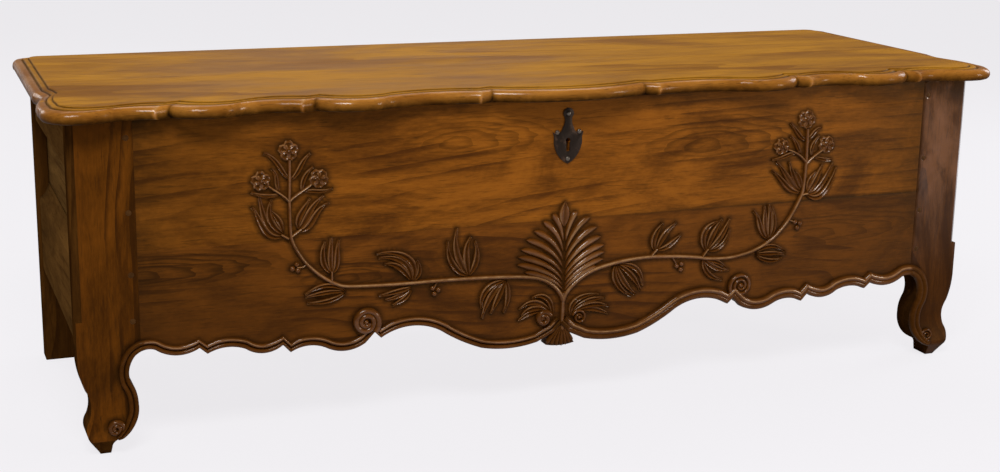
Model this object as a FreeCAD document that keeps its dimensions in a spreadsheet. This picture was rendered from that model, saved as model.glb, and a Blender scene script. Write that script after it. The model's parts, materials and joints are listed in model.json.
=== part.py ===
import FreeCAD, Part
import Sketcher
import math
import os
import re

from FreeCAD import Vector

# A carved dowry coffer: a joined chest on short cabriole legs with a hinged, serpentine lid.
# The frame stands on the floor: X runs along the chest, the front looks to -Y and Z points up.
# X is zero in the middle of the length and Y is zero half way between the lid's two edges.

doc = FreeCAD.newDocument("coffer")
sheet = doc.addObject("Spreadsheet::Sheet", "Sizes")

# Every length is in millimetres.
SIZES = {
    # Carcase: over the stiles, front face to back face, floor to the top of the walls.
    "carcase_length": 1808,
    "carcase_depth": 600,
    "carcase_height": 592,
    # Lid: how far it reaches past the carcase, its thickness, and the air under it.
    "lid_side_reach": 40,
    "lid_front_reach": 54,
    "lid_back_reach": 14,
    "lid_thickness": 26,
    "lid_gap": 0.3,
    "lid_edge_inset": 21,
    "lid_field_rise": 2.5,
    "lid_front_board": 322,
    "lid_batten_width": 70,
    "lid_batten_thickness": 22,
    "lid_batten_end_distance": 204,
    "lid_batten_inset": 60,
    "lid_batten_bevel": 10,
    # Front stiles, which run down into the legs.
    "stile_width": 109,
    "stile_thickness": 45,
    "toe_kick": 12,
    "leg_height": 184,
    "arris_width": 11,
    "arris_stop_height": 232,
    # Rear posts.
    "post_width": 70,
    "post_thickness": 45,
    # Front boards, flush with the stiles, with a tongue at each end.
    "front_thickness": 25,
    "front_joint_height": 360,
    "tongue_thickness": 10,
    "tongue_length": 24,
    "tongue_setback": 8,
    "tongue_margin": 12,
    # Beaded edge of the apron and its volutes.
    "bead_width": 20,
    "bead_rise": 4,
    "volute_radius": 23,
    "volute_height": 193,
    # Side frames.
    "rail_thickness": 40,
    "rail_setback": 4,
    "top_rail_height": 92,
    "bottom_rail_low": 195,
    "bottom_rail_high": 372,
    "rail_bevel_height": 30,
    "rail_bevel_depth": 18,
    "tenon_setback": 20,
    "tenon_thickness": 14,
    "tenon_length": 28,
    "tenon_margin": 15,
    "panel_thickness": 12,
    "panel_entry": 8,
    # Back boards and floor.
    "back_thickness": 22,
    "back_low_drop": 30,
    "back_joint_height": 390,
    "floor_top_height": 225,
    "floor_thickness": 20,
    "bearer_width": 60,
    "bearer_height": 34,
    "bearer_end_distance": 344,
    # Pegs through the joints.
    "peg_radius": 5,
    "peg_length": 38,
    "front_peg_low_height": 237,
    "front_peg_second_drop": 40,
    "front_peg_third_rise": 70,
    "front_peg_high_drop": 32,
    # Iron: keyhole shield, lock and its bolt.
    "lock_offset": 6,
    "shield_width": 62,
    "shield_height": 106,
    "shield_drop": 19,
    "shield_thickness": 2,
    "keyhole_radius": 5,
    "keyhole_drop": 81,
    "keyhole_reach": 20,
    "keyhole_slot": 7,
    "lock_plate_half": 72,
    "lock_plate_height": 116,
    "lock_top_drop": 6,
    "lock_plate_thickness": 2,
    "lock_case_half": 58,
    "lock_case_height": 108,
    "lock_case_depth": 20,
    "lock_wall": 2,
    "lug_width": 5,
    "lug_depth": 15,
    "lug_margin": 4,
    "near_lug": 9,
    "far_lug": 19,
    "bolt_tip": 6,
    "bolt_length": 48,
    "bolt_thickness": 5,
    "bolt_height": 8,
    "bolt_drop": 22,
    "bolt_depth": 33.5,
    "bolt_tab_width": 8,
    "bolt_tab_length": 28,
    "bolt_tab_offset": 4,
    # Iron under the lid that the bolt catches.
    "staple_thickness": 5,
    "staple_width": 12,
    "staple_front": 30,
    "staple_margin": 5,
    "staple_eye_clearance": 3,
    "staple_eye_wall": 2,
    "staple_slot_margin": 2,
    "staple_plate_half": 34,
    "staple_plate_width": 20,
    "staple_plate_thickness": 3,
    # Hinges on the back.
    "hinge_end_distance": 384,
    "hinge_thickness": 3,
    "hinge_barrel_radius": 6.5,
    "hinge_pin_radius": 3,
    "hinge_drop": 7,
    "hinge_standoff": 6.7,
    "hinge_middle": 14,
    "hinge_outer": 10,
    "hinge_plate_height": 84,
    "hinge_strap_length": 270,
    "hinge_strap_width": 34,
    "hinge_strap_point": 30,
    "hinge_pin_end": 1,
    # Nails.
    "nail_head_radius": 4.5,
    "nail_head_height": 2.2,
    "nail_shank_radius": 1.5,
    "nail_length": 12,
    # Fits.
    "joint_clearance": 0.2,
    "peg_clearance": 0.1,
    "running_clearance": 0.05,
    "slide_clearance": 0.2,
    "knuckle_clearance": 0.4,
    "gain_clearance": 0.8,
    # How far a cutting block runs past the wood it cuts.
    "overrun": 5,
}

for row, (alias, value) in enumerate(SIZES.items(), start=1):
    sheet.set("A%d" % row, alias)
    sheet.set("B%d" % row, str(value))
    sheet.setAlias("B%d" % row, alias)
doc.recompute()

WORD = re.compile(r"[a-z_]+")


def bound(text):
    """An expression in the sheet's names, as FreeCAD reads it."""
    return WORD.sub(lambda found: "Sizes." + found.group(0), text)


def size(alias):
    return float(sheet.get(alias))


# Places that many pieces share, as expressions.
FRONT = "((lid_front_reach - lid_back_reach - carcase_depth) / 2)"
BACK = "((lid_front_reach - lid_back_reach + carcase_depth) / 2)"
STILE_IN = "(carcase_length / 2 - stile_width)"
POST_IN = "(carcase_length / 2 - post_width)"
RAIL_OUT = "(carcase_length / 2 - rail_setback)"
RAIL_IN = "(carcase_length / 2 - rail_setback - rail_thickness)"
LID_UNDER = "(carcase_height + lid_gap)"
HINGE_Y = "(" + BACK + " + hinge_standoff)"
HINGE_Z = "(" + LID_UNDER + " - hinge_drop)"
LOCK_FACE = "(" + FRONT + " + front_thickness)"
BACK_LOW = "(floor_top_height - back_low_drop)"
LOCK_TOP = "(carcase_height - lock_top_drop)"
KEYHOLE_Z = "(carcase_height - keyhole_drop)"
HINGE_X = "(carcase_length / 2 - hinge_end_distance)"
BATTEN_X = "(carcase_length / 2 - lid_batten_end_distance)"
BEARER_X = "(carcase_length / 2 - bearer_end_distance)"

front_y = (size("lid_front_reach") - size("lid_back_reach") - size("carcase_depth")) / 2
back_y = front_y + size("carcase_depth")
half_length = size("carcase_length") / 2
stile_in = half_length - size("stile_width")

pieces = {}


def block(name, x, y, z):
    """A box between two expressions on each axis."""
    made = doc.addObject("Part::Box", name)
    for side, axis, (low, high) in zip(("Length", "Width", "Height"), "xyz", (x, y, z)):
        made.setExpression(side, bound("(%s) - (%s)" % (high, low)))
        made.setExpression("Placement.Base." + axis, bound(low))
    return made


def rod(name, radius, length, at, axis):
    """A cylinder that starts at a point and runs along an axis."""
    made = doc.addObject("Part::Cylinder", name)
    turns = {"x": (Vector(0, 1, 0), 90), "y": (Vector(1, 0, 0), -90), "z": (Vector(0, 0, 1), 0)}
    made.Placement = FreeCAD.Placement(Vector(0, 0, 0), FreeCAD.Rotation(*turns[axis]))
    made.setExpression("Radius", bound(radius))
    made.setExpression("Height", bound(length))
    for letter, text in zip("xyz", at):
        made.setExpression("Placement.Base." + letter, bound(text))
    return made


def joined(name, shapes):
    made = doc.addObject("Part::MultiFuse", name)
    made.Shapes = shapes
    return made


def grouped(name, shapes):
    made = doc.addObject("Part::Compound", name)
    made.Links = shapes
    return made


def cut(name, base, tools):
    made = doc.addObject("Part::Cut", name)
    made.Base = base
    made.Tool = tools[0] if len(tools) == 1 else grouped(name + "_tools", tools)
    return made


def drawn(name, shape):
    """A shape from a drawn outline, which no primitive makes."""
    made = doc.addObject("Part::Feature", name)
    made.Shape = shape
    return made


def piece(name, made):
    made.Label = name
    pieces[name] = made
    return made


def flip(side, span):
    """A span measured outwards from the middle, on the left (-1) or the right (1)."""
    low, high = span
    return span if side > 0 else ("-(%s)" % high, "-(%s)" % low)


def past(low, high, margin):
    return "(%s) - (%s)" % (low, margin), "(%s) + (%s)" % (high, margin)


def edge_chain(start, steps, place):
    """Edges through points: one point in a step is a line, two are an arc by way of the first."""
    edges = []
    here = place(*start)
    for step in steps:
        there = place(*step[-1])
        if len(step) == 1:
            edges.append(Part.LineSegment(here, there).toShape())
        else:
            edges.append(Part.Arc(here, place(*step[0]), there).toShape())
        here = there
    return edges


def mirrored_steps(start, steps):
    """The same chain run backwards on the other side of the middle."""
    points = [start] + [step[-1] for step in steps]
    back = []
    for index in range(len(steps) - 1, -1, -1):
        step = steps[index]
        end = points[index]
        via = [(-point[0], point[1]) for point in step[:-1]]
        back.append(tuple(via) + ((-end[0], end[1]),))
    return back


def face_of(edges):
    return Part.Face(Part.Wire(edges))


SIDES = ((-1, "left"), (1, "right"))

# Mortises and tongues of the front.
tongue_y = (FRONT + " + tongue_setback", FRONT + " + tongue_setback + tongue_thickness")
tongue_x = (STILE_IN, STILE_IN + " + tongue_length")
upper_tongue_z = ("front_joint_height + tongue_margin", "carcase_height - tongue_margin")
lower_tongue_z = ("bottom_rail_low + tongue_margin", "front_joint_height - tongue_margin")
PEG_ROWS = (
    "front_peg_low_height",
    "front_joint_height - front_peg_second_drop",
    "front_joint_height + front_peg_third_rise",
    "carcase_height - front_peg_high_drop",
)
PEG_X = "(" + STILE_IN + " + tongue_length / 2)"


def slack(span, name="joint_clearance"):
    return past(span[0], span[1], name)


def peg_rods(side, name, radius, rows, spot, from_y):
    """Pegs driven along Y at the given heights."""
    sign = "" if side > 0 else "-"
    made = []
    for number, row in enumerate(rows):
        at = (sign + spot, from_y, row)
        made.append(rod("%s_%d" % (name, number), radius, "peg_length", at, "y"))
    return made


# Leg outline, from the stile's outer edge inwards in shares of the stile's width, and in height
# as shares of the leg's height; the last point meets the apron.
LEG_START_SHARES = (0, 1)
LEG_SHARES = (
    ((0.03, 0.79), (0.10, 0.65)),
    ((0.185, 0.49), (0.14, 0.35)),
    ((0.09, 0.235), (0.145, 0.15)),
    ((0.275, 0.03),),
    ((0.30, 0),),
    ((0.47, 0),),
    ((0.485, 0.07),),
    ((0.53, 0.14), (0.63, 0.168)),
    ((0.85, 0.29), (0.925, 0.48)),
    ((0.90, 0.60), (0.83, 0.69)),
    ((0.80, 0.83), (0.91, 0.965)),
    ((0.95, 0.99), (1, 1)),
)
# Side view of a leg: forward of the stile's face in shares of the kick, heights as above.
TOE_SHARES = (
    ((0, 0.62),),
    ((-0.12, 0.38), (-1, 0.18)),
    ((-1, 0.15),),
    ((0.3, 0),),
)


def stile_solid(side):
    """A stile with its leg: the front view and the side view cut out of one billet."""
    width = size("stile_width")
    height = size("leg_height")
    top = size("carcase_height")
    thick = size("stile_thickness")
    kick = size("toe_kick")
    front = front_y - size("overrun") - kick

    def front_place(across, up):
        return Vector(side * (half_length - across * width), front, up * height)

    edges = edge_chain(LEG_START_SHARES, LEG_SHARES, front_place)
    inner_low = front_place(*LEG_SHARES[-1][-1])
    outer_low = front_place(*LEG_START_SHARES)
    inner_top = Vector(inner_low.x, front, top)
    outer_top = Vector(outer_low.x, front, top)
    edges.append(Part.LineSegment(inner_low, inner_top).toShape())
    edges.append(Part.LineSegment(inner_top, outer_top).toShape())
    edges.append(Part.LineSegment(outer_top, outer_low).toShape())
    face = face_of(edges)
    seen_from_front = face.extrude(Vector(0, thick + 2 * (size("overrun") + kick), 0))

    far = side * (half_length + size("overrun"))
    near = side * (stile_in - size("overrun"))

    def side_place(forward, up):
        return Vector(near, front_y + forward * kick, up * height)

    top_front = Vector(near, front_y, top)
    top_back = Vector(near, front_y + thick, top)
    low_back = Vector(near, front_y + thick, 0)
    start = side_place(*TOE_SHARES[0][-1])
    edges = [Part.LineSegment(top_front, start).toShape()]
    edges += edge_chain(TOE_SHARES[0][-1], TOE_SHARES[1:], side_place)
    edges.append(Part.LineSegment(side_place(*TOE_SHARES[-1][-1]), low_back).toShape())
    edges.append(Part.LineSegment(low_back, top_back).toShape())
    edges.append(Part.LineSegment(top_back, top_front).toShape())
    seen_from_side = face_of(edges).extrude(Vector(far - near, 0, 0))
    solid = seen_from_front.common(seen_from_side)

    # The outer arris is taken off above a stop.
    arris = size("arris_width")
    stop = size("arris_stop_height")
    corner = Vector(side * half_length, front_y, stop)
    along = Vector(side * (half_length - arris), front_y, stop + arris)
    back = Vector(side * half_length, front_y + arris, stop + arris)
    rise = Vector(0, 0, top)
    wedge = Part.makePolygon([corner + Vector(0, 0, arris), along, back, corner + Vector(0, 0, arris)])
    chamfer = Part.Face(wedge).extrude(rise)
    return solid.cut(chamfer)


for side, hand in SIDES:
    base = drawn("stile_blank_" + hand, stile_solid(side))
    mortises = []
    for level, span in (("upper", upper_tongue_z), ("lower", lower_tongue_z)):
        deep = ("%s - overrun" % tongue_x[0], "%s + joint_clearance" % tongue_x[1])
        label = "mortise_%s_%s" % (level, hand)
        mortises.append(block(label, flip(side, deep), slack(tongue_y), slack(span)))
    tenon_x = (RAIL_OUT + " - tenon_setback - tenon_thickness", RAIL_OUT + " - tenon_setback")
    from_y = FRONT + " + stile_thickness"
    tenon_y = ("%s - tenon_length - joint_clearance" % from_y, from_y + " + overrun")
    top_tenon_z = ("carcase_height - top_rail_height + tenon_margin", "carcase_height - tenon_margin")
    bottom_tenon_z = ("bottom_rail_low + tenon_margin", "bottom_rail_high - rail_bevel_height - tenon_margin")
    for level, span in (("top", top_tenon_z), ("bottom", bottom_tenon_z)):
        label = "side_mortise_%s_%s" % (level, hand)
        mortises.append(block(label, flip(side, slack(tenon_x)), tenon_y, slack(span)))
    panel_x = (RAIL_OUT + " - tenon_setback - panel_thickness", RAIL_OUT + " - tenon_setback")
    panel_z = ("bottom_rail_high - panel_entry", "carcase_height - top_rail_height + panel_entry")
    groove_y = ("%s - panel_entry - joint_clearance" % from_y, from_y + " + overrun")
    mortises.append(block("panel_groove_" + hand, flip(side, slack(panel_x)), groove_y, slack(panel_z)))
    mortises += peg_rods(side, "peg_hole_" + hand, "peg_radius + peg_clearance", PEG_ROWS, PEG_X, FRONT)
    piece("front_stile_" + hand, cut("front_stile_" + hand, base, mortises))

    # Rear post, square and straight to the floor.
    post_x = (POST_IN, "carcase_length / 2")
    post_y = (BACK + " - post_thickness", BACK)
    post = block("post_blank_" + hand, flip(side, post_x), post_y, ("0", "carcase_height"))
    cuts = []
    to_y = BACK + " - post_thickness"
    back_tenon_y = (to_y + " - overrun", to_y + " + tenon_length + joint_clearance")
    for level, span in (("top", top_tenon_z), ("bottom", bottom_tenon_z)):
        label = "post_mortise_%s_%s" % (level, hand)
        cuts.append(block(label, flip(side, slack(tenon_x)), back_tenon_y, slack(span)))
    back_groove_y = (to_y + " - overrun", to_y + " + panel_entry + joint_clearance")
    cuts.append(block("post_groove_" + hand, flip(side, slack(panel_x)), back_groove_y, slack(panel_z)))
    back_tongue_y = (BACK + " - back_thickness", BACK + " - back_thickness + tongue_thickness")
    back_tongue_x = (POST_IN + " - overrun", POST_IN + " + tongue_length + joint_clearance")
    back_tongue_z = (BACK_LOW + " + tongue_margin", "carcase_height - tongue_margin")
    groove_x = flip(side, back_tongue_x)
    cuts.append(block("back_groove_" + hand, groove_x, slack(back_tongue_y), slack(back_tongue_z)))
    piece("rear_post_" + hand, cut("rear_post_" + hand, post, cuts))

    # Side rails with a tenon at each end, and a groove for the panel.
    rail_x = (RAIL_IN, RAIL_OUT)
    rail_y = (from_y, to_y)
    full_y = (from_y + " - tenon_length", to_y + " + tenon_length")
    top_z = ("carcase_height - top_rail_height", "carcase_height")
    bar = block("top_bar_" + hand, flip(side, rail_x), rail_y, top_z)
    tenon = block("top_tenon_" + hand, flip(side, tenon_x), full_y, top_tenon_z)
    rail = joined("top_rail_blank_" + hand, [bar, tenon])
    groove_z = (top_z[0] + " - overrun", panel_z[1] + " + joint_clearance")
    groove_y = past(rail_y[0], rail_y[1], "overrun")
    groove = block("top_rail_groove_" + hand, flip(side, slack(panel_x)), groove_y, groove_z)
    piece("side_top_rail_" + hand, cut("side_top_rail_" + hand, rail, [groove]))

    low_z = ("bottom_rail_low", "bottom_rail_high")
    bar = block("bottom_bar_" + hand, flip(side, rail_x), rail_y, low_z)
    tenon = block("bottom_tenon_" + hand, flip(side, tenon_x), full_y, bottom_tenon_z)
    rail = joined("bottom_rail_blank_" + hand, [bar, tenon])
    groove_z = (panel_z[0] + " - joint_clearance", low_z[1] + " + overrun")
    groove_y = past(rail_y[0], rail_y[1], "overrun")
    groove = block("bottom_rail_groove_" + hand, flip(side, slack(panel_x)), groove_y, groove_z)
    # The moulding on the upper outer edge is a hollow between two arrises.
    outer = half_length - size("rail_setback")
    high = size("bottom_rail_high")
    deep = size("rail_bevel_depth")
    tall = size("rail_bevel_height")
    over = size("overrun")
    start_y = front_y + size("stile_thickness") - over
    run_y = size("carcase_depth") - size("stile_thickness") - size("post_thickness") + 2 * over

    def bevel_place(inwards, down):
        return Vector(side * (outer - inwards * deep), start_y, high - down * tall)

    edges = edge_chain((1, 0), (((0.62, 0.62), (0, 1)),), bevel_place)
    low_corner = bevel_place(0, 1)
    far_low = Vector(side * (outer + over), start_y, low_corner.z)
    far_high = Vector(side * (outer + over), start_y, high + over)
    near_high = Vector(side * (outer - deep), start_y, high + over)
    chain = [low_corner, far_low, far_high, near_high, bevel_place(1, 0)]
    for first, second in zip(chain[:-1], chain[1:]):
        edges.append(Part.LineSegment(first, second).toShape())
    hollow = drawn("rail_hollow_" + hand, face_of(edges).extrude(Vector(0, run_y, 0)))
    piece("side_bottom_rail_" + hand, cut("side_bottom_rail_" + hand, rail, [groove, hollow]))

    panel_y = (from_y + " - panel_entry", to_y + " + panel_entry")
    piece("side_panel_" + hand, block("side_panel_" + hand, flip(side, panel_x), panel_y, panel_z))

# Upper front board with its tongues, its keyhole and the peg holes.
board_x = ("-" + STILE_IN, STILE_IN)
board_y = (FRONT, LOCK_FACE)
tongues_x = ("-(%s)" % tongue_x[1], tongue_x[1])
board = block("front_upper_blank", board_x, board_y, ("front_joint_height", "carcase_height"))
tongue = block("front_upper_tongue", tongues_x, tongue_y, upper_tongue_z)
upper = joined("front_upper_joined", [board, tongue])
hole_y = past(board_y[0], board_y[1], "overrun")
BOW_LENGTH = "front_thickness + 2 * overrun"
bow_at = ("lock_offset", hole_y[0], KEYHOLE_Z)
bow = rod("keyhole_bow", "keyhole_radius", BOW_LENGTH, bow_at, "y")
slot_x = past("lock_offset", "lock_offset", "keyhole_slot / 2")
slot = block("keyhole_way", slot_x, hole_y, (KEYHOLE_Z + " - keyhole_reach", KEYHOLE_Z))
holes = [bow, slot]
for side, hand in SIDES:
    holes += peg_rods(side, "upper_hole_" + hand, "peg_radius + peg_clearance", PEG_ROWS[2:], PEG_X, FRONT)
piece("front_board_upper", cut("front_board_upper", upper, holes))

# Lower front board. Its edge from the stile to the middle: along as shares of the board's half
# length, up as shares of the height of the joint between the two boards.
APRON_START_SHARES = (-1, 0.511)
APRON_SHARES = (
    ((-0.990, 0.5155), (-0.970, 0.507)),
    ((-0.920, 0.468), (-0.873, 0.494)),
    ((-0.855, 0.461),),
    ((-0.812, 0.485), (-0.770, 0.466)),
    ((-0.722, 0.435), (-0.684, 0.467)),
    ((-0.667, 0.425),),
    ((-0.622, 0.450), (-0.580, 0.424)),
    ((-0.530, 0.404), (-0.490, 0.435)),
    ((-0.468, 0.486),),
    ((-0.453, 0.453),),
    ((-0.377, 0.500), (-0.295, 0.440)),
    ((-0.253, 0.386), (-0.205, 0.341)),
    ((-0.138, 0.322), (-0.062, 0.342)),
    ((-0.020, 0.385),),
    ((-0.037, 0.316),),
    ((0, 0.306), (0.037, 0.316)),
)

VOLUTE_SHARE = 0.49


def apron_edges(up, forward):
    half = stile_in
    tall = size("front_joint_height")

    def place(along, share):
        return Vector(along * half, forward, share * tall + up)

    steps = APRON_SHARES + tuple(mirrored_steps(APRON_START_SHARES, APRON_SHARES[:-1]))
    return edge_chain(APRON_START_SHARES, steps, place)


def closed_above(edges, height, forward):
    """The face between a chain of edges and a level line above it."""
    start = edges[0].firstVertex().Point
    end = edges[-1].lastVertex().Point
    first = Vector(start.x, forward, height)
    last = Vector(end.x, forward, height)
    lines = [Part.LineSegment(end, last).toShape(), Part.LineSegment(last, first).toShape()]
    lines.append(Part.LineSegment(first, start).toShape())
    return face_of(list(edges) + lines)


thick = size("front_thickness")
joint = size("front_joint_height")
bead = size("bead_rise")
apron = closed_above(apron_edges(0, front_y), joint, front_y).extrude(Vector(0, thick, 0))
band = closed_above(apron_edges(0, front_y - bead), joint, front_y - bead).extrude(Vector(0, bead, 0))
above = closed_above(apron_edges(size("bead_width"), front_y - bead), joint + size("overrun"), front_y - bead)
band = band.cut(above.extrude(Vector(0, bead, 0)))
lower_blank = drawn("front_lower_blank", apron)
lower_band = drawn("front_lower_band", band)
volutes = []
for side, hand in SIDES:
    reach = "%s * %s" % (side * VOLUTE_SHARE, STILE_IN)
    at = (reach, FRONT + " - bead_rise", "volute_height")
    volutes.append(rod("volute_" + hand, "volute_radius", "bead_rise * 2", at, "y"))
tongue = block("front_lower_tongue", tongues_x, tongue_y, lower_tongue_z)
lower = joined("front_lower_joined", [lower_blank, lower_band, tongue] + volutes)
holes = []
for side, hand in SIDES:
    holes += peg_rods(side, "lower_hole_" + hand, "peg_radius + peg_clearance", PEG_ROWS[:2], PEG_X, FRONT)
piece("front_board_lower", cut("front_board_lower", lower, holes))

for side, hand in SIDES:
    pegs = peg_rods(side, "front_peg_" + hand, "peg_radius", PEG_ROWS, PEG_X, FRONT)
    piece("front_pegs_" + hand, grouped("front_pegs_" + hand, pegs))

# Back boards, with a gain in the top edge for each hinge strap.
back_x = ("-" + POST_IN, POST_IN)
back_board_y = (BACK + " - back_thickness", BACK)
back_tongue_y = (BACK + " - back_thickness", BACK + " - back_thickness + tongue_thickness")
back_tongues_x = ("-(%s + tongue_length)" % POST_IN, POST_IN + " + tongue_length")
for level, span in (
    ("upper", ("back_joint_height", "carcase_height")),
    ("lower", (BACK_LOW, "back_joint_height")),
):
    low = span[0] + " + tongue_margin" if level == "lower" else span[0]
    high = span[1] + " - tongue_margin" if level == "upper" else span[1]
    board = block("back_blank_" + level, back_x, back_board_y, span)
    tongue = block("back_tongue_" + level, back_tongues_x, back_tongue_y, (low, high))
    made = joined("back_joined_" + level, [board, tongue])
    if level == "upper":
        gains = []
        for side, hand in SIDES:
            wide = past(HINGE_X, HINGE_X, "hinge_strap_width / 2 + gain_clearance")
            deep = (HINGE_Z + " + hinge_drop - hinge_thickness - gain_clearance", "carcase_height + overrun")
            gain_y = past(back_board_y[0], back_board_y[1], "overrun")
            gains.append(block("hinge_gain_" + hand, flip(side, wide), gain_y, deep))
        made = cut("back_board_gained", made, gains)
    piece("back_board_" + level, made)

# Floor: four boards along the chest on three bearers, cut round the stiles and posts.
floor_z = ("floor_top_height - floor_thickness", "floor_top_height")
inside_y = (LOCK_FACE, BACK + " - back_thickness")
inside_x = ("-" + RAIL_IN, RAIL_IN)
QUARTER = "((carcase_depth - front_thickness - back_thickness) / 4)"
for number, name in enumerate(("front", "second", "third", "rear")):
    near = "%s + %s * %d" % (inside_y[0], QUARTER, number)
    far = "%s + %s * %d" % (inside_y[0], QUARTER, number + 1)
    span = (near, far)
    made = block("floor_blank_" + name, inside_x, span, floor_z)
    notches = []
    for side, hand in SIDES:
        if name == "front":
            wide = flip(side, (STILE_IN, RAIL_IN + " + overrun"))
            deep = (inside_y[0] + " - overrun", FRONT + " + stile_thickness")
        if name == "rear":
            wide = flip(side, (POST_IN, RAIL_IN + " + overrun"))
            deep = (BACK + " - post_thickness", inside_y[1] + " + overrun")
        if name in ("front", "rear"):
            label = "floor_notch_%s_%s" % (name, hand)
            notches.append(block(label, wide, deep, past(floor_z[0], floor_z[1], "overrun")))
    if notches:
        made = cut("floor_cut_" + name, made, notches)
    piece("floor_board_" + name, made)
for name, spot in (("left", "-" + BEARER_X), ("middle", "0"), ("right", BEARER_X)):
    span = past(spot, spot, "bearer_width / 2")
    under = ("floor_top_height - floor_thickness - bearer_height", "floor_top_height - floor_thickness")
    piece("floor_bearer_" + name, block("floor_bearer_" + name, span, inside_y, under))

# Lid. The front edge from the middle to the end: along as shares of the lid's half length, out
# as shares of the front reach. Then the side edge: in from the end as shares of the side reach,
# back as shares of the carcase's depth.
LID_START_SHARES = (0.175, 0.41)
LID_FRONT_SHARES = (
    ((0.191, 0.56),),
    ((0.281, 0.37), (0.374, 0.65)),
    ((0.462, 0.91), (0.524, 0.41)),
    ((0.540, 0.56),),
    ((0.598, 0.37), (0.658, 0.63)),
    ((0.730, 0.89), (0.792, 0.41)),
    ((0.808, 0.56),),
    ((0.851, 0.49), (0.894, 0.68)),
    ((0.930, 0.86), (0.966, 0.82)),
)
LID_SIDE_SHARES = (
    ((0.13, -0.033), (0, 0.020)),
    ((0.045, 0.135), (0.34, 0.205)),
    ((0.29, 0.250), (0.13, 0.300)),
    ((0.24, 0.985),),
)
# The nosing: in from the edge as shares of the edge's inset, up as shares of the thickness
# below the raised field.
NOSING_SHARES = ((0.30, 0), (0.07, 0.14), (0, 0.36), (0.06, 0.58), (0.26, 0.80), (0.56, 0.95), (0.92, 1))


def lid_wire(inset, level):
    """The lid's outline drawn in by an inset, which fades out towards the back edge."""
    half = half_length + size("lid_side_reach")
    reach = size("lid_front_reach")
    side_reach = size("lid_side_reach")
    depth = size("carcase_depth")
    rear = back_y + size("lid_back_reach")
    fore = front_y - reach

    def drawn_in(x, y):
        return Vector(x * (half - inset) / half, y + inset * (rear - y) / (rear - fore), level)

    def front_place(along, out):
        return drawn_in(along * half, front_y - out * reach)

    def right_place(inwards, back):
        return drawn_in(half - inwards * side_reach, front_y + back * depth)

    def left_place(inwards, back):
        return drawn_in(-half - inwards * side_reach, front_y + back * depth)

    left_start = (-LID_START_SHARES[0], LID_START_SHARES[1])
    edges = edge_chain(left_start, (((0, 1), LID_START_SHARES),), front_place)
    edges += edge_chain(LID_START_SHARES, LID_FRONT_SHARES, front_place)
    corner = LID_FRONT_SHARES[-1][-1]
    side_start = ((half - corner[0] * half) / side_reach, -corner[1] * reach / depth)
    edges += edge_chain(side_start, LID_SIDE_SHARES, right_place)
    end = LID_SIDE_SHARES[-1][-1]
    right_low = right_place(*end)
    left_low = left_place(-end[0], end[1])
    right_rear = Vector(right_low.x, rear, level)
    left_rear = Vector(left_low.x, rear, level)
    chain = [right_low, right_rear, left_rear, left_low]
    for first, second in zip(chain[:-1], chain[1:]):
        edges.append(Part.LineSegment(first, second).toShape())
    back_steps = mirrored_steps(side_start, LID_SIDE_SHARES)
    edges += edge_chain((-end[0], end[1]), back_steps, left_place)
    far_start = (-corner[0], corner[1])
    edges += edge_chain(far_start, mirrored_steps(LID_START_SHARES, LID_FRONT_SHARES), front_place)
    return Part.Wire(edges)


under = size("carcase_height") + size("lid_gap")
edge_inset = size("lid_edge_inset")
rise = size("lid_field_rise")
body = size("lid_thickness") - rise
wires = [lid_wire(share * edge_inset, under + up * body) for share, up in NOSING_SHARES]
slab = Part.makeLoft(wires, True, True)
field = Part.Face(lid_wire(edge_inset, under + body)).extrude(Vector(0, 0, rise))
lid_solid = slab.fuse(field)
lid_blank = drawn("lid_blank", lid_solid)

lid_all_x = past("-carcase_length / 2", "carcase_length / 2", "lid_side_reach + overrun")
lid_all_z = past(LID_UNDER, LID_UNDER, "lid_thickness + overrun")
LID_JOINT = "(" + FRONT + " - lid_front_reach + lid_front_board)"
for name, span in (
    ("front", (FRONT + " - lid_front_reach - overrun", LID_JOINT)),
    ("rear", (LID_JOINT, BACK + " + lid_back_reach + overrun")),
):
    keep = block("lid_keep_" + name, lid_all_x, span, lid_all_z)
    made = doc.addObject("Part::Common", "lid_board_" + name)
    made.Base = lid_blank
    made.Tool = keep
    piece("lid_board_" + name, made)

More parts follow.
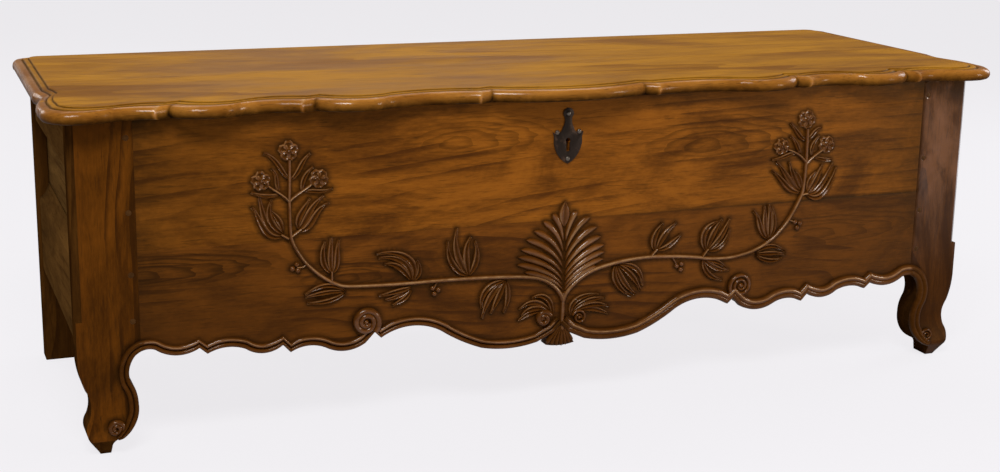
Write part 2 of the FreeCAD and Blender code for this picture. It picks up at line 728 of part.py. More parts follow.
# Battens under the lid: a sketch of the section, padded across the lid.
for side, hand in SIDES:
    label = "lid_batten_" + hand
    made = doc.addObject("PartDesign::Body", label)
    sketch = made.newObject("Sketcher::SketchObject", label + "_section")
    sketch.AttachmentSupport = [(made.Origin.OriginFeatures[4], "")]
    sketch.MapMode = "FlatFace"
    half = size("lid_batten_width") / 2
    deep = size("lid_batten_thickness")
    bevel = size("lid_batten_bevel")
    corners = [
        Vector(-half, 0, 0),
        Vector(half, 0, 0),
        Vector(half, bevel - deep, 0),
        Vector(half - bevel, -deep, 0),
        Vector(bevel - half, -deep, 0),
        Vector(-half, bevel - deep, 0),
    ]
    for index in range(6):
        sketch.addGeometry(Part.LineSegment(corners[index], corners[(index + 1) % 6]), False)
    for index in range(6):
        sketch.addConstraint(Sketcher.Constraint("Coincident", index, 2, (index + 1) % 6, 1))
    sketch.addConstraint(Sketcher.Constraint("Vertical", 1))
    sketch.addConstraint(Sketcher.Constraint("Vertical", 5))
    sketch.addConstraint(Sketcher.Constraint("Equal", 1, 5))
    sketch.addConstraint(Sketcher.Constraint("PointOnObject", 0, 1, -1))
    sketch.addConstraint(Sketcher.Constraint("Symmetric", 0, 1, 0, 2, -2))
    sketch.addConstraint(Sketcher.Constraint("Symmetric", 3, 1, 3, 2, -2))
    width = sketch.addConstraint(Sketcher.Constraint("DistanceX", 0, 1, 0, 2, 2 * half))
    flat = sketch.addConstraint(Sketcher.Constraint("DistanceX", 3, 2, 3, 1, 2 * (half - bevel)))
    depth = sketch.addConstraint(Sketcher.Constraint("DistanceY", 3, 1, 0, 1, deep))
    drop = sketch.addConstraint(Sketcher.Constraint("DistanceY", 1, 2, 1, 1, deep - bevel))
    sketch.setExpression("Constraints[%d]" % width, bound("lid_batten_width"))
    sketch.setExpression("Constraints[%d]" % flat, bound("lid_batten_width - 2 * lid_batten_bevel"))
    sketch.setExpression("Constraints[%d]" % depth, bound("lid_batten_thickness"))
    sketch.setExpression("Constraints[%d]" % drop, bound("lid_batten_thickness - lid_batten_bevel"))
    pad = made.newObject("PartDesign::Pad", label + "_pad")
    pad.Profile = sketch
    inside_depth = "carcase_depth - front_thickness - back_thickness"
    pad.setExpression("Length", bound(inside_depth + " - 2 * lid_batten_inset"))
    pad.Reversed = True
    made.Tip = pad
    made.setExpression("Placement.Base.x", bound(("" if side > 0 else "-") + BATTEN_X))
    made.setExpression("Placement.Base.y", bound(LOCK_FACE + " + lid_batten_inset"))
    made.setExpression("Placement.Base.z", bound(LID_UNDER))
    piece(label, made)

# Nails: one turned shape, set where it is driven.
def nail_shape():
    head = size("nail_head_radius")
    tall = size("nail_head_height")
    shank = size("nail_shank_radius")
    length = size("nail_length")
    shoulder = Vector(head * math.sin(math.pi / 4), 0, tall * math.cos(math.pi / 5))
    dome = Part.Arc(Vector(0, 0, tall), shoulder, Vector(head, 0, 0))
    points = [Vector(head, 0, 0), Vector(shank, 0, 0), Vector(shank, 0, -length)]
    points += [Vector(0, 0, -length), Vector(0, 0, tall)]
    edges = [dome.toShape()]
    for first, second in zip(points[:-1], points[1:]):
        edges.append(Part.LineSegment(first, second).toShape())
    return face_of(edges).revolve(Vector(0, 0, 0), Vector(0, 0, 1), 360)


NAIL = nail_shape()


def nails(name, spots, facing):
    """Nails at points, with their heads towards a direction."""
    turn = FreeCAD.Rotation(Vector(0, 0, 1), facing)
    made = []
    for spot in spots:
        copy = NAIL.copy()
        copy.Placement = FreeCAD.Placement(spot, turn)
        made.append(copy)
    return piece(name, drawn(name, Part.makeCompound(made)))


def nail_holes(spots, axis):
    """Holes for nails through a plate, along an axis and both ways."""
    radius = size("nail_shank_radius") + size("running_clearance")
    reach = size("nail_length")
    holes = [Part.makeCylinder(radius, 2 * reach, spot - axis * reach, axis) for spot in spots]
    return Part.makeCompound(holes)


# Keyhole shield: out from the middle as shares of half its width, up as shares of its height.
SHIELD_START_SHARES = (0, 0)
SHIELD_SHARES = (
    ((0.30, 0.04), (0.42, 0.10)),
    ((0.78, 0.22), (0.80, 0.42)),
    ((1, 0.50),),
    ((1, 0.62),),
    ((0.62, 0.66), (0.42, 0.78)),
    ((0.30, 0.80),),
    ((0.34, 0.90), (0, 1)),
)
shield_y = front_y - size("shield_thickness")
lock_x = size("lock_offset")
shield_low = size("carcase_height") - size("shield_drop") - size("shield_height")


def shield_place(out, up):
    return Vector(lock_x + out * size("shield_width") / 2, shield_y, shield_low + up * size("shield_height"))


edges = edge_chain(SHIELD_START_SHARES, SHIELD_SHARES, shield_place)
edges += edge_chain((0, 1), mirrored_steps(SHIELD_START_SHARES, SHIELD_SHARES), shield_place)
shield = face_of(edges).extrude(Vector(0, size("shield_thickness"), 0))
SHIELD_NAIL_SHARES = ((0, 0.90), (0.72, 0.57), (-0.72, 0.57), (0, 0.09))
shield_spots = [shield_place(*share) for share in SHIELD_NAIL_SHARES]
shield = shield.cut(nail_holes(shield_spots, Vector(0, 1, 0)))
bow = rod("shield_bow", "keyhole_radius", BOW_LENGTH, bow_at, "y")
slot = block("shield_way", slot_x, hole_y, (KEYHOLE_Z + " - keyhole_reach", KEYHOLE_Z))
piece("escutcheon", cut("escutcheon", drawn("shield_blank", shield), [bow, slot]))
nails("escutcheon_nails", shield_spots, Vector(0, -1, 0))

# Lock inside the front: a plate with the keyhole and two lugs, a case over it, and the bolt.
plate_x = past("lock_offset", "lock_offset", "lock_plate_half")
plate_y = (LOCK_FACE, LOCK_FACE + " + lock_plate_thickness")
plate = block("lock_plate_blank", plate_x, plate_y, (LOCK_TOP + " - lock_plate_height", LOCK_TOP))
bolt_y = (FRONT + " + bolt_depth", FRONT + " + bolt_depth + bolt_thickness")
bolt_z = ("carcase_height - bolt_drop", "carcase_height - bolt_drop + bolt_height")
bolt_x = ("lock_offset - bolt_tip - bolt_length", "lock_offset - bolt_tip")
lugs = []
for name in ("near_lug", "far_lug"):
    lug_x = ("lock_offset - %s - lug_width" % name, "lock_offset - %s" % name)
    lugs.append(block(name, lug_x, (plate_y[1], plate_y[1] + " + lug_depth"), slack(bolt_z, "lug_margin")))
way_y = slack(bolt_y, "slide_clearance")
way_z = slack(bolt_z, "slide_clearance")
way = block("bolt_way", past(bolt_x[0], bolt_x[1], "overrun"), way_y, way_z)
bow = rod("plate_bow", "keyhole_radius", BOW_LENGTH, bow_at, "y")
slot = block("plate_way", slot_x, hole_y, (KEYHOLE_Z + " - keyhole_reach", KEYHOLE_Z))
plate_face = front_y + size("front_thickness") + size("lock_plate_thickness")
lock_top = size("carcase_height") - size("lock_top_drop")
rim = (size("lock_plate_half") + size("lock_case_half")) / 2
heights = (
    lock_top - size("lock_plate_height") + size("nail_head_radius") * 2,
    lock_top - size("nail_head_radius") * 2,
)
lock_spots = [Vector(lock_x + sign * rim, plate_face, height) for sign in (-1, 1) for height in heights]
drills = drawn("lock_nail_holes", nail_holes(lock_spots, Vector(0, 1, 0)))
piece("lock_plate", cut("lock_plate", joined("lock_plate_lugged", [plate] + lugs), [way, bow, slot, drills]))
nails("lock_nails", lock_spots, Vector(0, 1, 0))

case_x = past("lock_offset", "lock_offset", "lock_case_half")
case_y = (plate_y[1], plate_y[1] + " + lock_case_depth")
case = block("lock_case_blank", case_x, case_y, (LOCK_TOP + " - lock_case_height", LOCK_TOP))
room_x = past("lock_offset", "lock_offset", "lock_case_half - lock_wall")
room_y = (plate_y[1] + " - overrun", case_y[1] + " - lock_wall")
room_z = (LOCK_TOP + " - lock_case_height + lock_wall", LOCK_TOP + " - lock_wall")
room = block("lock_room", room_x, room_y, room_z)
staple_x = past("lock_offset", "lock_offset", "staple_thickness / 2")
staple_y = (FRONT + " + staple_front", FRONT + " + staple_front + staple_width")
slot_x = slack(staple_x, "staple_slot_margin")
slot_y = slack(staple_y, "staple_slot_margin")
slot = block("staple_slot", slot_x, slot_y, past(LOCK_TOP, LOCK_TOP, "overrun"))
piece("lock_case", cut("lock_case", case, [room, slot]))

bar = block("bolt_bar", bolt_x, bolt_y, bolt_z)
tab_x = (bolt_x[0] + " + bolt_tab_offset", bolt_x[0] + " + bolt_tab_offset + bolt_tab_width")
tab = block("bolt_tab", tab_x, bolt_y, (bolt_z[0] + " - bolt_tab_length", bolt_z[1]))
piece("lock_bolt", joined("lock_bolt", [bar, tab]))

# Staple and its plate under the lid.
lid_plate_z = (LID_UNDER + " - staple_plate_thickness", LID_UNDER)
lid_plate_x = past("lock_offset", "lock_offset", "staple_plate_half")
middle_y = "(" + FRONT + " + staple_front + staple_width / 2)"
lid_plate_y = past(middle_y, middle_y, "staple_plate_width / 2")
plate = block("staple_plate_blank", lid_plate_x, lid_plate_y, lid_plate_z)
eye_z = slack(bolt_z, "staple_eye_clearance")
hang_z = (eye_z[0] + " - staple_margin", lid_plate_z[1])
eye_y = (staple_y[0] + " + staple_eye_wall", staple_y[1] + " - staple_eye_wall")
hang = block("staple_hang", staple_x, staple_y, hang_z)
eye = block("staple_eye", past(staple_x[0], staple_x[1], "overrun"), eye_y, eye_z)
staple_mid = front_y + size("staple_front") + size("staple_width") / 2
staple_reach = size("staple_plate_half") - 2 * size("nail_head_radius")
staple_level = under - size("staple_plate_thickness")
staple_spots = [Vector(lock_x + sign * staple_reach, staple_mid, staple_level) for sign in (-1, 1)]
drills = drawn("staple_nail_holes", nail_holes(staple_spots, Vector(0, 0, 1)))
piece("lid_staple", cut("lid_staple", joined("staple_joined", [plate, hang]), [eye, drills]))
nails("staple_nails", staple_spots, Vector(0, 0, -1))

# Hinges: a plate on the back, a strap under the lid and a pin through their knuckles.
pin_radius = "hinge_pin_radius"
bore = "hinge_pin_radius + running_clearance"
plate_nail_spots = []
strap_nail_spots = []
PLATE_NAIL_SHARES = ((-0.27, 0.30), (0.27, 0.30), (-0.27, 0.62), (0.27, 0.62), (0, 0.86))
STRAP_NAIL_SHARES = (0.22, 0.48, 0.74)
strap_taper_share = 0.62
hinge_z = under - size("hinge_drop")
hinge_x = half_length - size("hinge_end_distance")
plate_width = size("hinge_middle") + 2 * (size("hinge_outer") + size("knuckle_clearance"))
for side, hand in SIDES:
    spot = ("" if side > 0 else "-") + HINGE_X
    middle = past(spot, spot, "hinge_middle / 2")
    whole = past(spot, spot, "hinge_middle / 2 + knuckle_clearance + hinge_outer")
    leaf_y = (BACK, BACK + " + hinge_thickness")
    low = HINGE_Z + " - hinge_plate_height"
    shoulder = HINGE_Z + " - hinge_barrel_radius - knuckle_clearance"
    shapes = [block("hinge_leaf_" + hand, whole, leaf_y, (low, shoulder))]
    for end, begin in (
        ("near", "%s - hinge_middle / 2 - knuckle_clearance - hinge_outer" % spot),
        ("far", "%s + hinge_middle / 2 + knuckle_clearance" % spot),
    ):
        ear_x = (begin, begin + " + hinge_outer")
        shapes.append(block("hinge_ear_%s_%s" % (end, hand), ear_x, leaf_y, (shoulder, HINGE_Z)))
        at = (begin, HINGE_Y, HINGE_Z)
        shapes.append(rod("hinge_knuckle_%s_%s" % (end, hand), "hinge_barrel_radius", "hinge_outer", at, "x"))
    spots = []
    for across, down in PLATE_NAIL_SHARES:
        x = side * hinge_x + across * plate_width
        z = hinge_z - down * size("hinge_plate_height")
        spots.append(Vector(x, back_y + size("hinge_thickness"), z))
    plate_nail_spots += spots
    drills = drawn("hinge_plate_holes_" + hand, nail_holes(spots, Vector(0, 1, 0)))
    from_x = whole[0] + " - overrun"
    through = rod("hinge_plate_bore_" + hand, bore, "hinge_strap_width * 2", (from_x, HINGE_Y, HINGE_Z), "x")
    whole_plate = joined("hinge_plate_joined_" + hand, shapes)
    piece("hinge_plate_" + hand, cut("hinge_plate_" + hand, whole_plate, [drills, through]))

    strap_z = (LID_UNDER + " - hinge_thickness", LID_UNDER)
    neck = block("hinge_neck_" + hand, middle, (BACK + " - back_thickness", HINGE_Y), strap_z)
    at = (middle[0], HINGE_Y, HINGE_Z)
    knuckle = rod("hinge_strap_knuckle_" + hand, "hinge_barrel_radius", "hinge_middle", at, "x")
    x = side * hinge_x
    half_strap = size("hinge_strap_width") / 2
    root_y = back_y
    point_y = back_y + size("hinge_standoff") - size("hinge_strap_length")
    taper_y = point_y + size("hinge_strap_point")
    level = under - size("hinge_thickness")
    outline = [
        Vector(x - half_strap, root_y, level),
        Vector(x + half_strap, root_y, level),
        Vector(x + half_strap * strap_taper_share, taper_y, level),
        Vector(x, point_y, level),
        Vector(x - half_strap * strap_taper_share, taper_y, level),
    ]
    flat = Part.Face(Part.makePolygon(outline + outline[:1])).extrude(Vector(0, 0, size("hinge_thickness")))
    strap = joined("hinge_strap_joined_" + hand, [drawn("hinge_strap_flat_" + hand, flat), neck, knuckle])
    spots = [Vector(x, back_y - share * size("hinge_strap_length"), level) for share in STRAP_NAIL_SHARES]
    strap_nail_spots += spots
    drills = drawn("hinge_strap_holes_" + hand, nail_holes(spots, Vector(0, 0, 1)))
    through = rod("hinge_strap_bore_" + hand, bore, "hinge_strap_width * 2", (from_x, HINGE_Y, HINGE_Z), "x")
    piece("hinge_strap_" + hand, cut("hinge_strap_" + hand, strap, [drills, through]))

    begin = whole[0] + " - hinge_pin_end"
    pin_length = "hinge_middle + 2 * (hinge_outer + knuckle_clearance + hinge_pin_end)"
    pin = rod("hinge_pin_" + hand, pin_radius, pin_length, (begin, HINGE_Y, HINGE_Z), "x")
    piece("hinge_pin_" + hand, pin)
nails("hinge_plate_nails", plate_nail_spots, Vector(0, 1, 0))
nails("hinge_strap_nails", strap_nail_spots, Vector(0, 0, -1))

doc.recompute()

for name, made in pieces.items():
    if "Invalid" in made.State or "Error" in made.State:
        raise RuntimeError(name + " did not compute")
    if made.Shape.isNull() or not made.Shape.isValid():
        raise RuntimeError(name + " has no valid shape")

os.makedirs("parts", exist_ok=True)
for name, made in pieces.items():
    made.Shape.exportStep("parts/%s.step" % name)
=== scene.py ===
# %% [markdown]
# # A carved dowry coffer
# The chest is solid cherry: a front of two wide boards between stiles that run down into short curved
# legs, a scalloped apron, and a lid whose front edge swings in and out. The measured solids are loaded
# first and stay as they are. Every piece made here lies on them, in metres, so that it can stand for them.

# %% Load the measured frame
import bpy
import json
import math
from mathutils import Matrix, Vector, kdtree

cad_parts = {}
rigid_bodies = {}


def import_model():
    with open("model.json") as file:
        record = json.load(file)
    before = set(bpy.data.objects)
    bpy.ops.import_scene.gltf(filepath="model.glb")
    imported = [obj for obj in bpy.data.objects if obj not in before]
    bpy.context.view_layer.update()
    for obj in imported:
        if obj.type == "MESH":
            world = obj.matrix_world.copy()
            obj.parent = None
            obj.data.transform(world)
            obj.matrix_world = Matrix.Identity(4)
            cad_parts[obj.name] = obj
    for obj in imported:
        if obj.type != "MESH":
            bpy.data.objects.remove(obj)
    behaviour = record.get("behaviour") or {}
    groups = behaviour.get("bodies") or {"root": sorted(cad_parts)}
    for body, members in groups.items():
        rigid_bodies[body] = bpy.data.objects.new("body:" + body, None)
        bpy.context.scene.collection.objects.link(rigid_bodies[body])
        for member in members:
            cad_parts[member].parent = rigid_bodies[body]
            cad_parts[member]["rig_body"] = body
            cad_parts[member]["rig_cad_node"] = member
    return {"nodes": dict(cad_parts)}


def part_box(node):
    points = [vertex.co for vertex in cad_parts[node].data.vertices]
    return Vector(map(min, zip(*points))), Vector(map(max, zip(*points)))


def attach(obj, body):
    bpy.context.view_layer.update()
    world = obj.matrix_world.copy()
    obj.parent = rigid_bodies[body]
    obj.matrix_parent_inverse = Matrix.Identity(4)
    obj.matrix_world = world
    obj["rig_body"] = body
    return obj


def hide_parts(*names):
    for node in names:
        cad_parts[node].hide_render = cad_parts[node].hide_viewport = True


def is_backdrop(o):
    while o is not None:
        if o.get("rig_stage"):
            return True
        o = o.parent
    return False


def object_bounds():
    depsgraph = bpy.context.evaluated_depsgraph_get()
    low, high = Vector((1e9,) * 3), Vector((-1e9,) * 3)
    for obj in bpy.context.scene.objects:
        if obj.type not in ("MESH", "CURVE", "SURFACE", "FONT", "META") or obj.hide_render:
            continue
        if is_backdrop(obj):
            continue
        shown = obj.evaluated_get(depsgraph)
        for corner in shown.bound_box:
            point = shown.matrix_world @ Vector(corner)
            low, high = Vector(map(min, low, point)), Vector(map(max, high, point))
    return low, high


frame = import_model()
cad_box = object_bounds()
nodes = frame["nodes"]
FRONT_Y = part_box("front_board_upper")[0].y
MM = 0.001
print("nodes:", len(nodes), "front face at", round(FRONT_Y, 4))

# %% [markdown]
# ## Old waxed cherry
# The wood is the whole look of this chest. Growth rings are cut by the board's face, so long streaks run
# with the grain and open into arches, fine dark pores lie on top, and a century of wax leaves soft patches.
# A picture of wood could be wrapped round each board, but it would repeat. Noise stretched along the grain
# costs little and never repeats, so the grain is built of it once, and each piece turns it its own way.
#
# A finish is a net of nodes. These helpers add one node in one line: a plain value is set on its socket,
# and another node's output is linked to it.

# %% Node helpers
MIX_FACTOR, MIX_A, MIX_B, MIX_COLOUR = 0, 6, 7, 2


def feed(tree, made, inputs):
    """Sets the inputs of a node, each to a value or to a link."""
    for key, value in inputs.items():
        if isinstance(value, bpy.types.NodeSocket):
            tree.links.new(value, made.inputs[key])
        else:
            made.inputs[key].default_value = value


def add_node(tree, kind, inputs, out=0, **settings):
    """Adds a shader node and gives back one of its outputs."""
    made = tree.nodes.new("ShaderNode" + kind)
    for name, value in settings.items():
        setattr(made, name, value)
    feed(tree, made, inputs)
    return made.outputs[out]


def noise(tree, vector, scale, detail=4.0, rough=0.55, distortion=0.0):
    return add_node(tree, "TexNoise", {"Vector": vector, "Scale": scale, "Detail": detail, "Roughness": rough,
                                       "Distortion": distortion}, "Fac")


def stretch(tree, vector, scale):
    return add_node(tree, "VectorMath", {0: vector, 1: scale}, operation="MULTIPLY")


def remap(tree, value, low, high, to_low=0.0, to_high=1.0):
    return add_node(tree, "MapRange", {"Value": value, "From Min": low, "From Max": high, "To Min": to_low,
                                       "To Max": to_high}, "Result", interpolation_type="SMOOTHSTEP")


def calc(tree, operation, first, second):
    return add_node(tree, "Math", {0: first, 1: second}, operation=operation)


def times(tree, first, second):
    return calc(tree, "MULTIPLY", first, second)


def blend(tree, factor, first, second):
    """Mixes two colours; a colour is a socket or four numbers."""
    inputs = {MIX_FACTOR: factor, MIX_A: first, MIX_B: second}
    return add_node(tree, "Mix", inputs, MIX_COLOUR, data_type="RGBA")


grain = bpy.data.node_groups.new("cherry_grain", "ShaderNodeTree")
for way, label, kind in (
    ("INPUT", "Vector", "Vector"), ("INPUT", "Light", "Color"), ("INPUT", "Dark", "Color"),
    ("INPUT", "Figure", "Float"), ("INPUT", "Patches", "Float"),
    ("OUTPUT", "Color", "Color"), ("OUTPUT", "Height", "Float"), ("OUTPUT", "Rough", "Float"),
):
    grain.interface.new_socket(label, in_out=way, socket_type="NodeSocket" + kind)
given = grain.nodes.new("NodeGroupInput").outputs
along = given["Vector"]
print("grain sockets:", len(grain.interface.items_tree))

# %% Grain group
PORE = (0.016, 0.006, 0.0015, 1)


def grain_noise(scale, *settings):
    """Noise drawn out along the grain."""
    return noise(grain, stretch(grain, along, scale), *settings)


# A slow drift bends the rings, and a tilt along the board opens them into arches.
drift = grain_noise((0.8, 4.0, 4.0), 1.5, 3.0, 0.5)
tilt = times(grain, add_node(grain, "SeparateXYZ", {"Vector": along}, "X"), 0.14)
sway = calc(grain, "ADD", times(grain, drift, 0.13), tilt)
lift = add_node(grain, "CombineXYZ", {"Y": sway, "Z": times(grain, drift, 0.06)})
rings_at = add_node(grain, "VectorMath", {0: along, 1: lift}, operation="ADD")
rings = add_node(grain, "TexWave", {
    "Vector": stretch(grain, rings_at, (0.05, 1.0, 1.0)), "Scale": 15.0, "Distortion": 2.2, "Detail": 2.0,
    "Detail Scale": 1.0,
}, "Fac", wave_type="RINGS", rings_direction="X", wave_profile="SAW")
late_wood = remap(grain, rings, 0.50, 0.98)
streaks = grain_noise((1.9, 36.0, 36.0), 2.0, 6.0, 0.68, 0.6)
fibres = grain_noise((24.0, 140.0, 140.0), 2.0, 5.0, 0.78)
pores = remap(grain, grain_noise((9.0, 165.0, 165.0), 2.2, 3.0, 0.6), 0.56, 0.70)
clouds = grain_noise((1.6, 4.2, 4.2), 2.2, 5.0, 0.60, 1.0)
shown_rings = remap(grain, grain_noise((1.5, 5.0, 5.0), 1.7, 2.0), 0.46, 0.60)
tone = calc(grain, "ADD", times(grain, streaks, 0.42), times(grain, fibres, 0.48))
figured = times(grain, late_wood, times(grain, shown_rings, given["Figure"]))
mottle = times(grain, calc(grain, "SUBTRACT", clouds, 0.5), given["Patches"])
tone = remap(grain, calc(grain, "ADD", calc(grain, "SUBTRACT", tone, figured), mottle), 0.11, 0.73)
wood = blend(grain, tone, given["Dark"], given["Light"])
feed(grain, grain.nodes.new("NodeGroupOutput"), {
    "Color": blend(grain, times(grain, pores, 0.45), wood, PORE),
    "Height": calc(grain, "SUBTRACT", times(grain, fibres, 0.5), times(grain, pores, 0.8)),
    "Rough": remap(grain, clouds, 0.3, 0.7),
})
print("grain group:", len(grain.nodes), "nodes")

# %% [markdown]
# ## Flames
# Where the saw meets the rings flat, they show as nested ovals that run out into points. Rings alone would
# draw them anywhere, so each flame is placed on its board: a round wave squeezed to an oval, bent a little by
# noise, and faded out towards its edge.

# %% Flames
def flame(tree, vector, centre, size):
    """Nested ovals round a middle, with half sizes along X and Z, in metres."""
    placed = add_node(tree, "Mapping", {"Vector": vector, "Location": (centre[0], 0, centre[1]),
                                        "Scale": (size[0], 1000, size[1])}, vector_type="TEXTURE")
    wander = add_node(tree, "TexNoise", {"Vector": placed, "Scale": 1.6}, "Color")
    bent = add_node(tree, "VectorMath", {0: wander, 1: (0.5, 0.0, 0.5), 2: placed}, operation="MULTIPLY_ADD")
    ovals = add_node(tree, "TexWave", {"Vector": bent, "Scale": 1.5, "Distortion": 0.6}, "Fac",
                     wave_type="RINGS", rings_direction="SPHERICAL", wave_profile="SAW")
    reach = add_node(tree, "VectorMath", {0: placed}, "Value", operation="LENGTH")
    return times(tree, remap(tree, ovals, 0.35, 0.95), remap(tree, reach, 0.55, 1.15, 1.0, 0.0))


UPPER_FLAMES = (((0.36, 0.50), (0.22, 0.055), 0.50), ((-0.16, 0.53), (0.18, 0.045), 0.38))
LOWER_FLAMES = (
    ((-0.73, 0.325), (0.22, 0.034), 0.75), ((-0.38, 0.29), (0.15, 0.032), 0.60),
    ((0.64, 0.30), (0.27, 0.040), 0.42),
)
print("flames:", len(UPPER_FLAMES + LOWER_FLAMES))

# %% [markdown]
# ## Painted shade, grime and highlights
# Painted shade and old wax darken every hollow and groove, and the edges where the carving meets the ground.
# Carved pieces carry this darkening as a mesh attribute, worked out when they are shaped, and the boards carry
# the painted shade round the carving and the dark joint between them the same way. Below zero it marks a
# painted highlight on the ridges. Hollows could also be found while rendering, but a plain attribute travels
# with the mesh into any other program.

# %% Waxed wood
# The colour of the painted shade in hollows, also used for the dark joint between the boards.
GRIME_AND_SHADE = (0.0065, 0.0024, 0.0007, 1)
# The colour of the painted highlight on ridges.
HIGHLIGHT_COLOUR = (0.40, 0.235, 0.105, 1)
TURN_X = (0.0, 0.0, 0.0)
TURN_Z = (0.0, math.radians(90), 0.0)
TURN_Y = (0.0, 0.0, math.radians(90))
BUMP_DEPTH = 0.0012
DARK_FOOT, DARK_TOP = 0.14, 0.44


def new_material(name):
    made = bpy.data.materials.new(name)
    made.use_nodes = True
    return made, made.node_tree, made.node_tree.nodes["Principled BSDF"]


def height_in(tree, where):
    return add_node(tree, "SeparateXYZ", {"Vector": where}, "Z")


def cherry(name, light, dark, turn=TURN_X, shift=(0, 0, 0), scale=(1, 1, 1), figure=0.22, patches=1.25,
           gloss=0.40, shine=0.20, tint=(1.0, 0.55, 0.15), coat=0.0, coat_low=None, bump=0.10, low_dark=0.0,
           flames=()):
    """A waxed wood with its grain turned along the piece."""
    made, tree, shader = new_material(name)
    where = add_node(tree, "TexCoord", {}, "Object")
    turned = {"Vector": where, "Rotation": turn, "Location": shift, "Scale": scale}
    cut = tree.nodes.new("ShaderNodeGroup")
    cut.node_tree = grain
    feed(tree, cut, {"Vector": add_node(tree, "Mapping", turned), "Light": light + (1,), "Dark": dark + (1,),
                     "Figure": figure, "Patches": patches})
    # The attribute holds painted shade and grime above zero and a painted highlight below zero; a fine noise
    # breaks both up.
    grime_and_painted_light = add_node(tree, "Attribute", {}, "Fac", attribute_name="grime_and_painted_light")
    mark_noise = noise(tree, where, 55.0, 3.0)
    hollow = times(tree, calc(tree, "MAXIMUM", grime_and_painted_light, 0.0), remap(tree, mark_noise, 0.2, 0.6, 0.72, 1.0))
    highlight_mask = calc(tree, "MAXIMUM", times(tree, grime_and_painted_light, -1.0), 0.0)
    highlight_mask = times(tree, highlight_mask, remap(tree, mark_noise, 0.35, 0.65, 0.45, 1.0))
    colour = cut.outputs["Color"]
    for centre, size, strength in flames:
        lines = times(tree, flame(tree, where, centre, size), strength)
        colour = blend(tree, lines, colour, tuple(c * 0.4 for c in dark) + (1,))
    # Mix in the painted highlight on ridges, then the painted shade and grime.
    colour = blend(tree, highlight_mask, colour, HIGHLIGHT_COLOUR)
    colour = blend(tree, hollow, colour, GRIME_AND_SHADE)
    # Painted shade that grows towards the bottom of the piece.
    if low_dark:
        low = remap(tree, height_in(tree, where), DARK_FOOT, DARK_TOP, low_dark, 0.0)
        colour = blend(tree, low, colour, (dark[0] * 0.5, dark[1] * 0.45, dark[2] * 0.45, 1))
    rough = remap(tree, cut.outputs["Rough"], 0.0, 1.0, gloss - 0.05, gloss + 0.09)
    relief = {"Strength": bump, "Distance": BUMP_DEPTH, "Height": cut.outputs["Height"]}
    feed(tree, shader, {
        "Base Color": colour, "Roughness": calc(tree, "ADD", rough, times(tree, hollow, 0.18)),
        "Specular IOR Level": shine, "Specular Tint": tint + (1,), "Coat Roughness": 0.15,
        "Normal": add_node(tree, "Bump", relief),
    })
    if coat:
        kept = remap(tree, hollow, 0.0, 0.6, coat, 0.0)
        kept = times(tree, kept, remap(tree, cut.outputs["Rough"], 0.1, 0.9, 0.4, 1.15))
        if coat_low:
            kept = times(tree, kept, remap(tree, height_in(tree, where), *coat_low))
        feed(tree, shader, {"Coat Weight": kept})
    return made


peg_wood = cherry("dark_peg", (0.050, 0.020, 0.006), (0.022, 0.008, 0.003), TURN_Y, gloss=0.45)
print(peg_wood.name, len(peg_wood.node_tree.nodes), "nodes")

# %% [markdown]
# ## The woods of the chest
# No two boards of a chest are alike: the lid is painted much lighter than the front, as painted light that
# falls on it from above, the apron and the foot of the right stile get painted shade towards the floor, and the
# right stile has a film of polish that mirrors the room. One finish could be tinted by hand, but a finish per
# kind of board keeps the seams between boards crisp. Wood that nobody sees was planed and left bare.

# %% The woods
front_upper_wood = cherry(
    "cherry_front_upper", (0.228, 0.072, 0.0064), (0.055, 0.0148, 0.0022), shift=(0.3, 0.05, -0.30),
    figure=0.20, flames=UPPER_FLAMES)
# low_dark paints shade that grows towards the floor on the apron board.
front_lower_wood = cherry(
    "cherry_front_lower", (0.172, 0.052, 0.0056), (0.044, 0.0120, 0.0024), shift=(1.7, 0.4, 0.35), figure=0.30,
    low_dark=0.45, flames=LOWER_FLAMES)
stile_wood = cherry(
    "cherry_stile_left", (0.140, 0.041, 0.0032), (0.034, 0.0090, 0.0009), TURN_Z, (0.2, 0.6, 0.1), figure=0.28,
    shine=0.12)
# low_dark paints shade towards the foot of the right stile.
right_stile_wood = cherry(
    "cherry_stile_right", (0.132, 0.042, 0.0060), (0.036, 0.0105, 0.0018), TURN_Z, (0.9, 0.4, 0.6), figure=0.45,
    patches=2.2, shine=0.08, coat=0.9, coat_low=(0.15, 0.34), low_dark=0.42)
carved_wood = cherry(
    "cherry_carved", (0.124, 0.038, 0.0036), (0.056, 0.0162, 0.0016), shift=(0.5, 0.2, 0.2), figure=0.0,
    gloss=0.32, shine=0.10, coat=0.60, low_dark=0.10)
# The lid's colours are set far lighter than the front's: painted light from above.
lid_settings = dict(scale=(0.6, 0.7, 0.7), patches=1.35, gloss=0.44, shine=0.035)
lid_front_wood = cherry(
    "cherry_lid_front", (0.364, 0.160, 0.013), (0.182, 0.067, 0.0045), shift=(0.0, 0.31, 0.52), **lid_settings)
lid_rear_wood = cherry(
    "cherry_lid_rear", (0.372, 0.166, 0.015), (0.195, 0.073, 0.0060), shift=(2.1, -0.22, 0.40), **lid_settings)
nosing_wood = cherry(
    "cherry_lid_nosing", (0.350, 0.138, 0.0170), (0.168, 0.055, 0.0058), shift=(0.9, 0.31, 0.52), figure=0.05,
    shine=0.03, coat=0.52)
dull = dict(gloss=0.62, shine=0.0)
side_wood = cherry(
    "cherry_side", (0.138, 0.064, 0.0160), (0.056, 0.025, 0.0068), TURN_Y, (0.4, 0.1, 0.7), **dull)
panel_wood = cherry(
    "cherry_panel", (0.190, 0.096, 0.0260), (0.088, 0.042, 0.0120), TURN_Y, (1.4, 0.5, 0.2), **dull)
post_wood = cherry(
    "cherry_post", (0.085, 0.032, 0.0055), (0.030, 0.0108, 0.0022), TURN_Z, (1.1, 0.3, 0.2), **dull)
